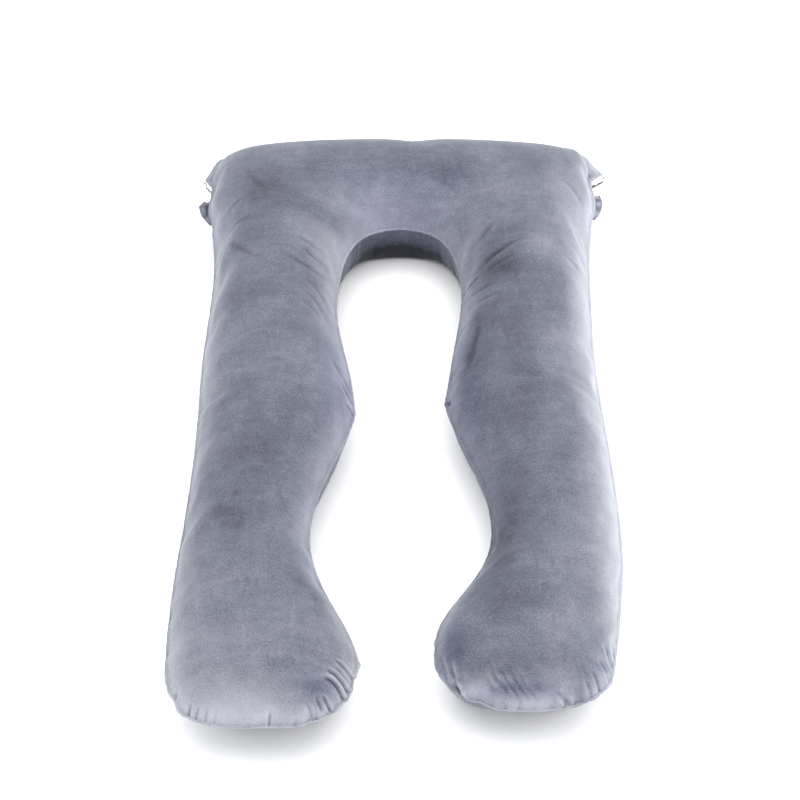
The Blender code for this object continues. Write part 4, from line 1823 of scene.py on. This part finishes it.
@dataclass(frozen=True)
class VelvetFinish:
    """Short-pile velvet: two shades, how strongly each effect shows, and its sheen."""

    name: str
    dark: Triple
    light: Triple
    middle: float = 0.42
    patch: float = 0.34
    stroke: float = 0.18
    smear: float = 0.16
    grain: float = 0.50
    # Weights of the masks: painted light with pile tone, painted shade, and painted shadow beside
    # the seam.
    light_and_tone: float = 1.0
    painted_shade: float = 0.50
    seam: float = 0.05
    room: float = 0.72
    shadow: float = 0.16
    dark_place: float = 0.34
    brightest: float = 1.40
    # The tint multiplied in where the velvet is painted more blue, partly a painted shade tint.
    blue_tint: Triple = (0.95, 0.95, 1.07)
    sheen: float = 0.28
    sheen_roughness: float = 0.40
    sheen_tint: Triple = (0.80, 0.83, 0.92)
    bump: float = 0.35
    bump_distance: float = 0.0006

    def material(self, pile: bpy.types.NodeTree) -> bpy.types.Material:
        """Makes the velvet.

        Args:
            pile: The pile's node group.

        Returns:
            The material.
        """
        made = start_material(
            self.name,
            {
                "Roughness": 0.92,
                "Specular IOR Level": 0.18,
                "Sheen Weight": self.sheen,
                "Sheen Roughness": self.sheen_roughness,
                "Sheen Tint": (*self.sheen_tint, 1.0),
            },
        )
        tree = made.node_tree
        texture = add_node(tree, "ShaderNodeGroup")
        texture.node_tree = pile
        shade = self.middle
        for name, weight in (
            ("Patch", self.patch),
            ("Stroke", self.stroke),
            ("Smear", self.smear),
            ("Grain", self.grain),
        ):
            shade = self.weighted(tree, texture.outputs[name], weight, shade)
        # The masks of painted light and shade: lighter slopes, rims and lips, shade in creases, hems
        # and tab gaps, and shadow beside the seam.
        for name, weight in (
            ("painted_light_and_pile_tone", self.light_and_tone),
            ("painted_shade", -self.painted_shade),
            ("seam_shadow", -self.seam),
        ):
            shade = self.added(tree, add_mask(tree, name), weight, shade)
        narrowed = add_math(tree, "MULTIPLY", self.room)
        tree.links.new(shade, narrowed.inputs[0])
        ramp = add_node(tree, "ShaderNodeValToRGB")
        stops = ramp.color_ramp.elements
        stops[0].position = 0.0
        stops[0].color = tuple(self.shadow * channel for channel in self.dark) + (1.0,)
        stops[1].position = 1.0
        stops[1].color = tuple(self.brightest * channel for channel in self.light) + (1.0,)
        stops.new(self.dark_place * self.room).color = (*self.dark, 1.0)
        stops.new(self.room).color = (*self.light, 1.0)
        tinted = add_node(tree, "ShaderNodeMix")
        tinted.data_type = "RGBA"
        tinted.blend_type = "MULTIPLY"
        tinted.inputs["B"].default_value = (*self.blue_tint, 1.0)
        tree.links.new(add_mask(tree, "blue_tone_and_shade"), tinted.inputs["Factor"])
        join(tree, (
            (narrowed, "Value", ramp, "Fac"),
            (ramp, "Color", tinted, "A"),
            (tinted, "Result", tree.nodes["Principled BSDF"], "Base Color"),
        ))
        add_bump(tree, texture.outputs["Height"], self.bump, self.bump_distance)
        return made

    def weighted(
        self,
        tree: bpy.types.NodeTree,
        mask: bpy.types.NodeSocket,
        weight: float,
        onto: bpy.types.NodeSocket | float,
    ) -> bpy.types.NodeSocket:
        """Adds a noise mask, centred on zero, to a shade.

        Args:
            tree: The material's node tree.
            mask: A mask whose middle is 0.5.
            weight: How strongly it shows.
            onto: The shade so far, as a socket or a number.

        Returns:
            The new shade.
        """
        centred = add_math(tree, "SUBTRACT", 0.5)
        tree.links.new(mask, centred.inputs[0])
        return self.added(tree, centred.outputs["Value"], weight, onto)

    def added(
        self,
        tree: bpy.types.NodeTree,
        mask: bpy.types.NodeSocket,
        weight: float,
        onto: bpy.types.NodeSocket | float,
    ) -> bpy.types.NodeSocket:
        """Adds a mask times a weight to a shade.

        Args:
            tree: The material's node tree.
            mask: The mask to add.
            weight: How strongly it shows.
            onto: The shade so far, as a socket or a number.

        Returns:
            The new shade.
        """
        total = add_math(tree, "MULTIPLY_ADD", weight)
        tree.links.new(mask, total.inputs[0])
        if isinstance(onto, float):
            total.inputs[2].default_value = onto
        else:
            tree.links.new(onto, total.inputs[2])
        return total.outputs["Value"]


@dataclass(frozen=True)
class CottonFinish:
    """Plain woven white cotton: its colour and its weave."""

    name: str
    colour: Triple
    shade: Triple
    threads: float = 900.0
    bump: float = 0.35
    bump_distance: float = 0.0002

    def material(self) -> bpy.types.Material:
        """Returns the cotton, with its two thread directions as bump and colour."""
        made = start_material(self.name, {"Roughness": 0.85, "Sheen Weight": 0.15})
        tree = made.node_tree
        place = add_node(tree, "ShaderNodeTexCoord")
        weave = add_math(tree, "MAXIMUM")
        waves = {"Scale": self.threads / 3.0, "Distortion": 0.6}
        for index, direction in enumerate(("X", "Y")):
            wave = add_node(tree, "ShaderNodeTexWave", waves)
            wave.bands_direction = direction
            join(tree, (
                (place, "Object", wave, "Vector"),
                (wave, "Fac", weave, index),
            ))
        colour = add_node(tree, "ShaderNodeMix")
        colour.data_type = "RGBA"
        colour.inputs["A"].default_value = (*self.shade, 1.0)
        colour.inputs["B"].default_value = (*self.colour, 1.0)
        join(tree, (
            (weave, "Value", colour, "Factor"),
            (colour, "Result", tree.nodes["Principled BSDF"], "Base Color"),
        ))
        add_bump(tree, weave.outputs["Value"], self.bump, self.bump_distance)
        return made


@dataclass(frozen=True)
class FloorFinish:
    """A plain pale studio floor."""

    colour: Triple = (0.93, 0.93, 0.93)
    dimmer: float = 0.985
    cloud_scale: float = 2.0

    def material(self) -> bpy.types.Material:
        """Returns the floor's material."""
        made = start_material("pale_floor", {"Roughness": 0.9, "Specular IOR Level": 0.1})
        tree = made.node_tree
        place = add_node(tree, "ShaderNodeTexCoord")
        cloud = add_node(tree, "ShaderNodeTexNoise", {"Scale": self.cloud_scale})
        ramp = add_node(tree, "ShaderNodeValToRGB")
        stops = ramp.color_ramp.elements
        stops[0].color = (*(self.dimmer * channel for channel in self.colour), 1.0)
        stops[1].color = (*self.colour, 1.0)
        join(tree, (
            (place, "Object", cloud, "Vector"),
            (cloud, "Fac", ramp, "Fac"),
            (ramp, "Color", tree.nodes["Principled BSDF"], "Base Color"),
        ))
        return made


@dataclass
class Studio:
    """The floor, the soft lights and the camera at the photograph's angle."""

    camera_place: Triple = (-0.003, -1.987, 2.212)
    pitch: float = 43.0
    focal_pixels: float = 1585.28
    frame_pixels: float = 800.0
    sensor: float = 36.0
    floor_size: float = 14.0
    floor_drop: float = 0.0004

    def floor(self) -> bpy.types.Object:
        """Returns the floor, just under the pillow."""
        bm = bmesh.new()
        bmesh.ops.create_grid(bm, x_segments=4, y_segments=4, size=self.floor_size / 2)
        for vertex in bm.verts:
            vertex.co.z = -self.floor_drop
        mesh = bpy.data.meshes.new("floor")
        bm.to_mesh(mesh)
        bm.free()
        floor = new_piece("studio_floor", mesh, FloorFinish().material())
        return floor

    def softbox(
        self,
        name: str,
        place: Triple,
        size: Pair,
        power: float,
        aim: Triple = (0.0, 0.0, 0.05),
    ) -> None:
        """Hangs one soft light that faces the pillow.

        Args:
            name: The light's name.
            place: Where it hangs.
            size: Its width and height.
            power: Its power in watts.
            aim: The point that it faces.
        """
        data = bpy.data.lights.new(name, "AREA")
        data.shape = "RECTANGLE"
        data.size, data.size_y = size
        data.energy = power
        light = bpy.data.objects.new(name, data)
        light.location = place
        light.rotation_euler = (Vector(aim) - Vector(place)).to_track_quat("-Z", "Y").to_euler()
        bpy.context.scene.collection.objects.link(light)

    def lights(self) -> None:
        """Sets the soft lights and the even light from all round."""
        self.softbox("overhead", (0.1, 0.3, 3.4), (4.4, 4.0), 136.0)
        self.softbox("right_side", (3.0, -0.4, 1.1), (1.6, 2.6), 39.0)
        self.softbox("left_side", (-3.0, -0.2, 1.1), (1.6, 2.6), 23.0)
        world = bpy.data.worlds.new("studio_air")
        world.use_nodes = True
        background = world.node_tree.nodes["Background"]
        background.inputs["Color"].default_value = (0.975, 0.98, 1.0, 1.0)
        background.inputs["Strength"].default_value = 1.24
        bpy.context.scene.world = world

    def camera(self) -> bpy.types.Object:
        """Returns the camera, pitched as the photograph's was."""
        data = bpy.data.cameras.new("camera")
        data.sensor_fit = "HORIZONTAL"
        data.sensor_width = self.sensor
        data.lens = self.sensor * self.focal_pixels / self.frame_pixels
        data.clip_end = 60.0
        camera = bpy.data.objects.new("camera", data)
        camera.location = self.camera_place
        camera.rotation_euler = (math.radians(self.pitch), 0.0, 0.0)
        bpy.context.scene.collection.objects.link(camera)
        bpy.context.scene.camera = camera
        return camera

    def build(self) -> None:
        """Sets up the whole studio."""
        self.floor()
        self.lights()
        self.camera()
        view = bpy.context.scene.view_settings
        view.view_transform = "Standard"
        view.look = "None"
        view.exposure = 0.0


def note(piece: bpy.types.Object) -> None:
    """Logs a finished piece's name and size."""
    mesh = piece.data
    mesh.calc_loop_triangles()
    area = sum(triangle.area for triangle in mesh.loop_triangles) * 1e4
    log.info("%s: %d triangles, %.1f cm2", piece.name, len(mesh.loop_triangles), area)


def main() -> None:
    """Builds the pillow piece by piece and sets it in the studio."""
    logging.basicConfig(level=logging.INFO, format="%(name)s %(message)s")
    Studio().build()
    pile = PileGrain().build()
    velvet = VelvetFinish("velvet", (0.090, 0.096, 0.120), (0.318, 0.326, 0.358)).material(pile)
    # The tabs' velvet is a darker copy, painted shade for tabs lying under the body's roll, with
    # stronger painted shade in the gap.
    tab_velvet = VelvetFinish(
        "velvet_tab", (0.082, 0.087, 0.118), (0.25, 0.26, 0.31), painted_shade=1.5, sheen=0.15
    ).material(pile)
    thread = VelvetFinish(
        "seam_thread", (0.16, 0.165, 0.185), (0.29, 0.30, 0.33), grain=0.2
    ).material(pile)
    cotton = CottonFinish("casing_white", (0.92, 0.92, 0.91), (0.80, 0.80, 0.79)).material()
    cover, line = FilledCover(PillowPattern(), velvet).build()
    note(cover)
    note(SeamStitches(cover, line, thread).build())
    surface = BVHTree.FromObject(cover, bpy.context.evaluated_depsgraph_get())
    for cloth in EAR_CLOTHS:
        where = cloth.side.name.lower()
        casing = EarEdge(
            f"casing_fold_{where}", cloth.side, cover, surface, cotton, CASING_THICKNESS,
            "casing_white", cloth.tip_y, CASING_SECTION, cloth.reaches,
            length=cloth.length, flat=cloth.casing_flat,
        )
        note(casing.build(f"casing_edge_{where}"))
        hem = EarEdge(
            f"panel_hem_{where}", cloth.side, cover, surface, velvet, HEM_THICKNESS,
            "velvet", cloth.tip_y, cloth.hem_section, cloth.reaches, cloth.shade,
            HEM_TIP_SHADE, length=cloth.length + HEM_EXTRA, curl=cloth.curl,
            flat=cloth.hem_flat,
        )
        note(hem.build())
    left = SideTab(
        "cover_tab_left", Side.LEFT, cover, surface, tab_velvet, TAB_THICKNESS, "velvet_tab",
        LEFT_TAB_ROWS,
    )
    note(left.build("side_tab_left"))
    right = SideTab(
        "cover_tab_right", Side.RIGHT, cover, surface, tab_velvet, TAB_THICKNESS, "velvet_tab",
        RIGHT_TAB_ROWS, root_shade=0.25, ridge_shine=0.28, base_shine=0.26, ripples=2.7,
    )
    note(right.build("side_tab_right"))


if __name__ == "__main__":
    main()
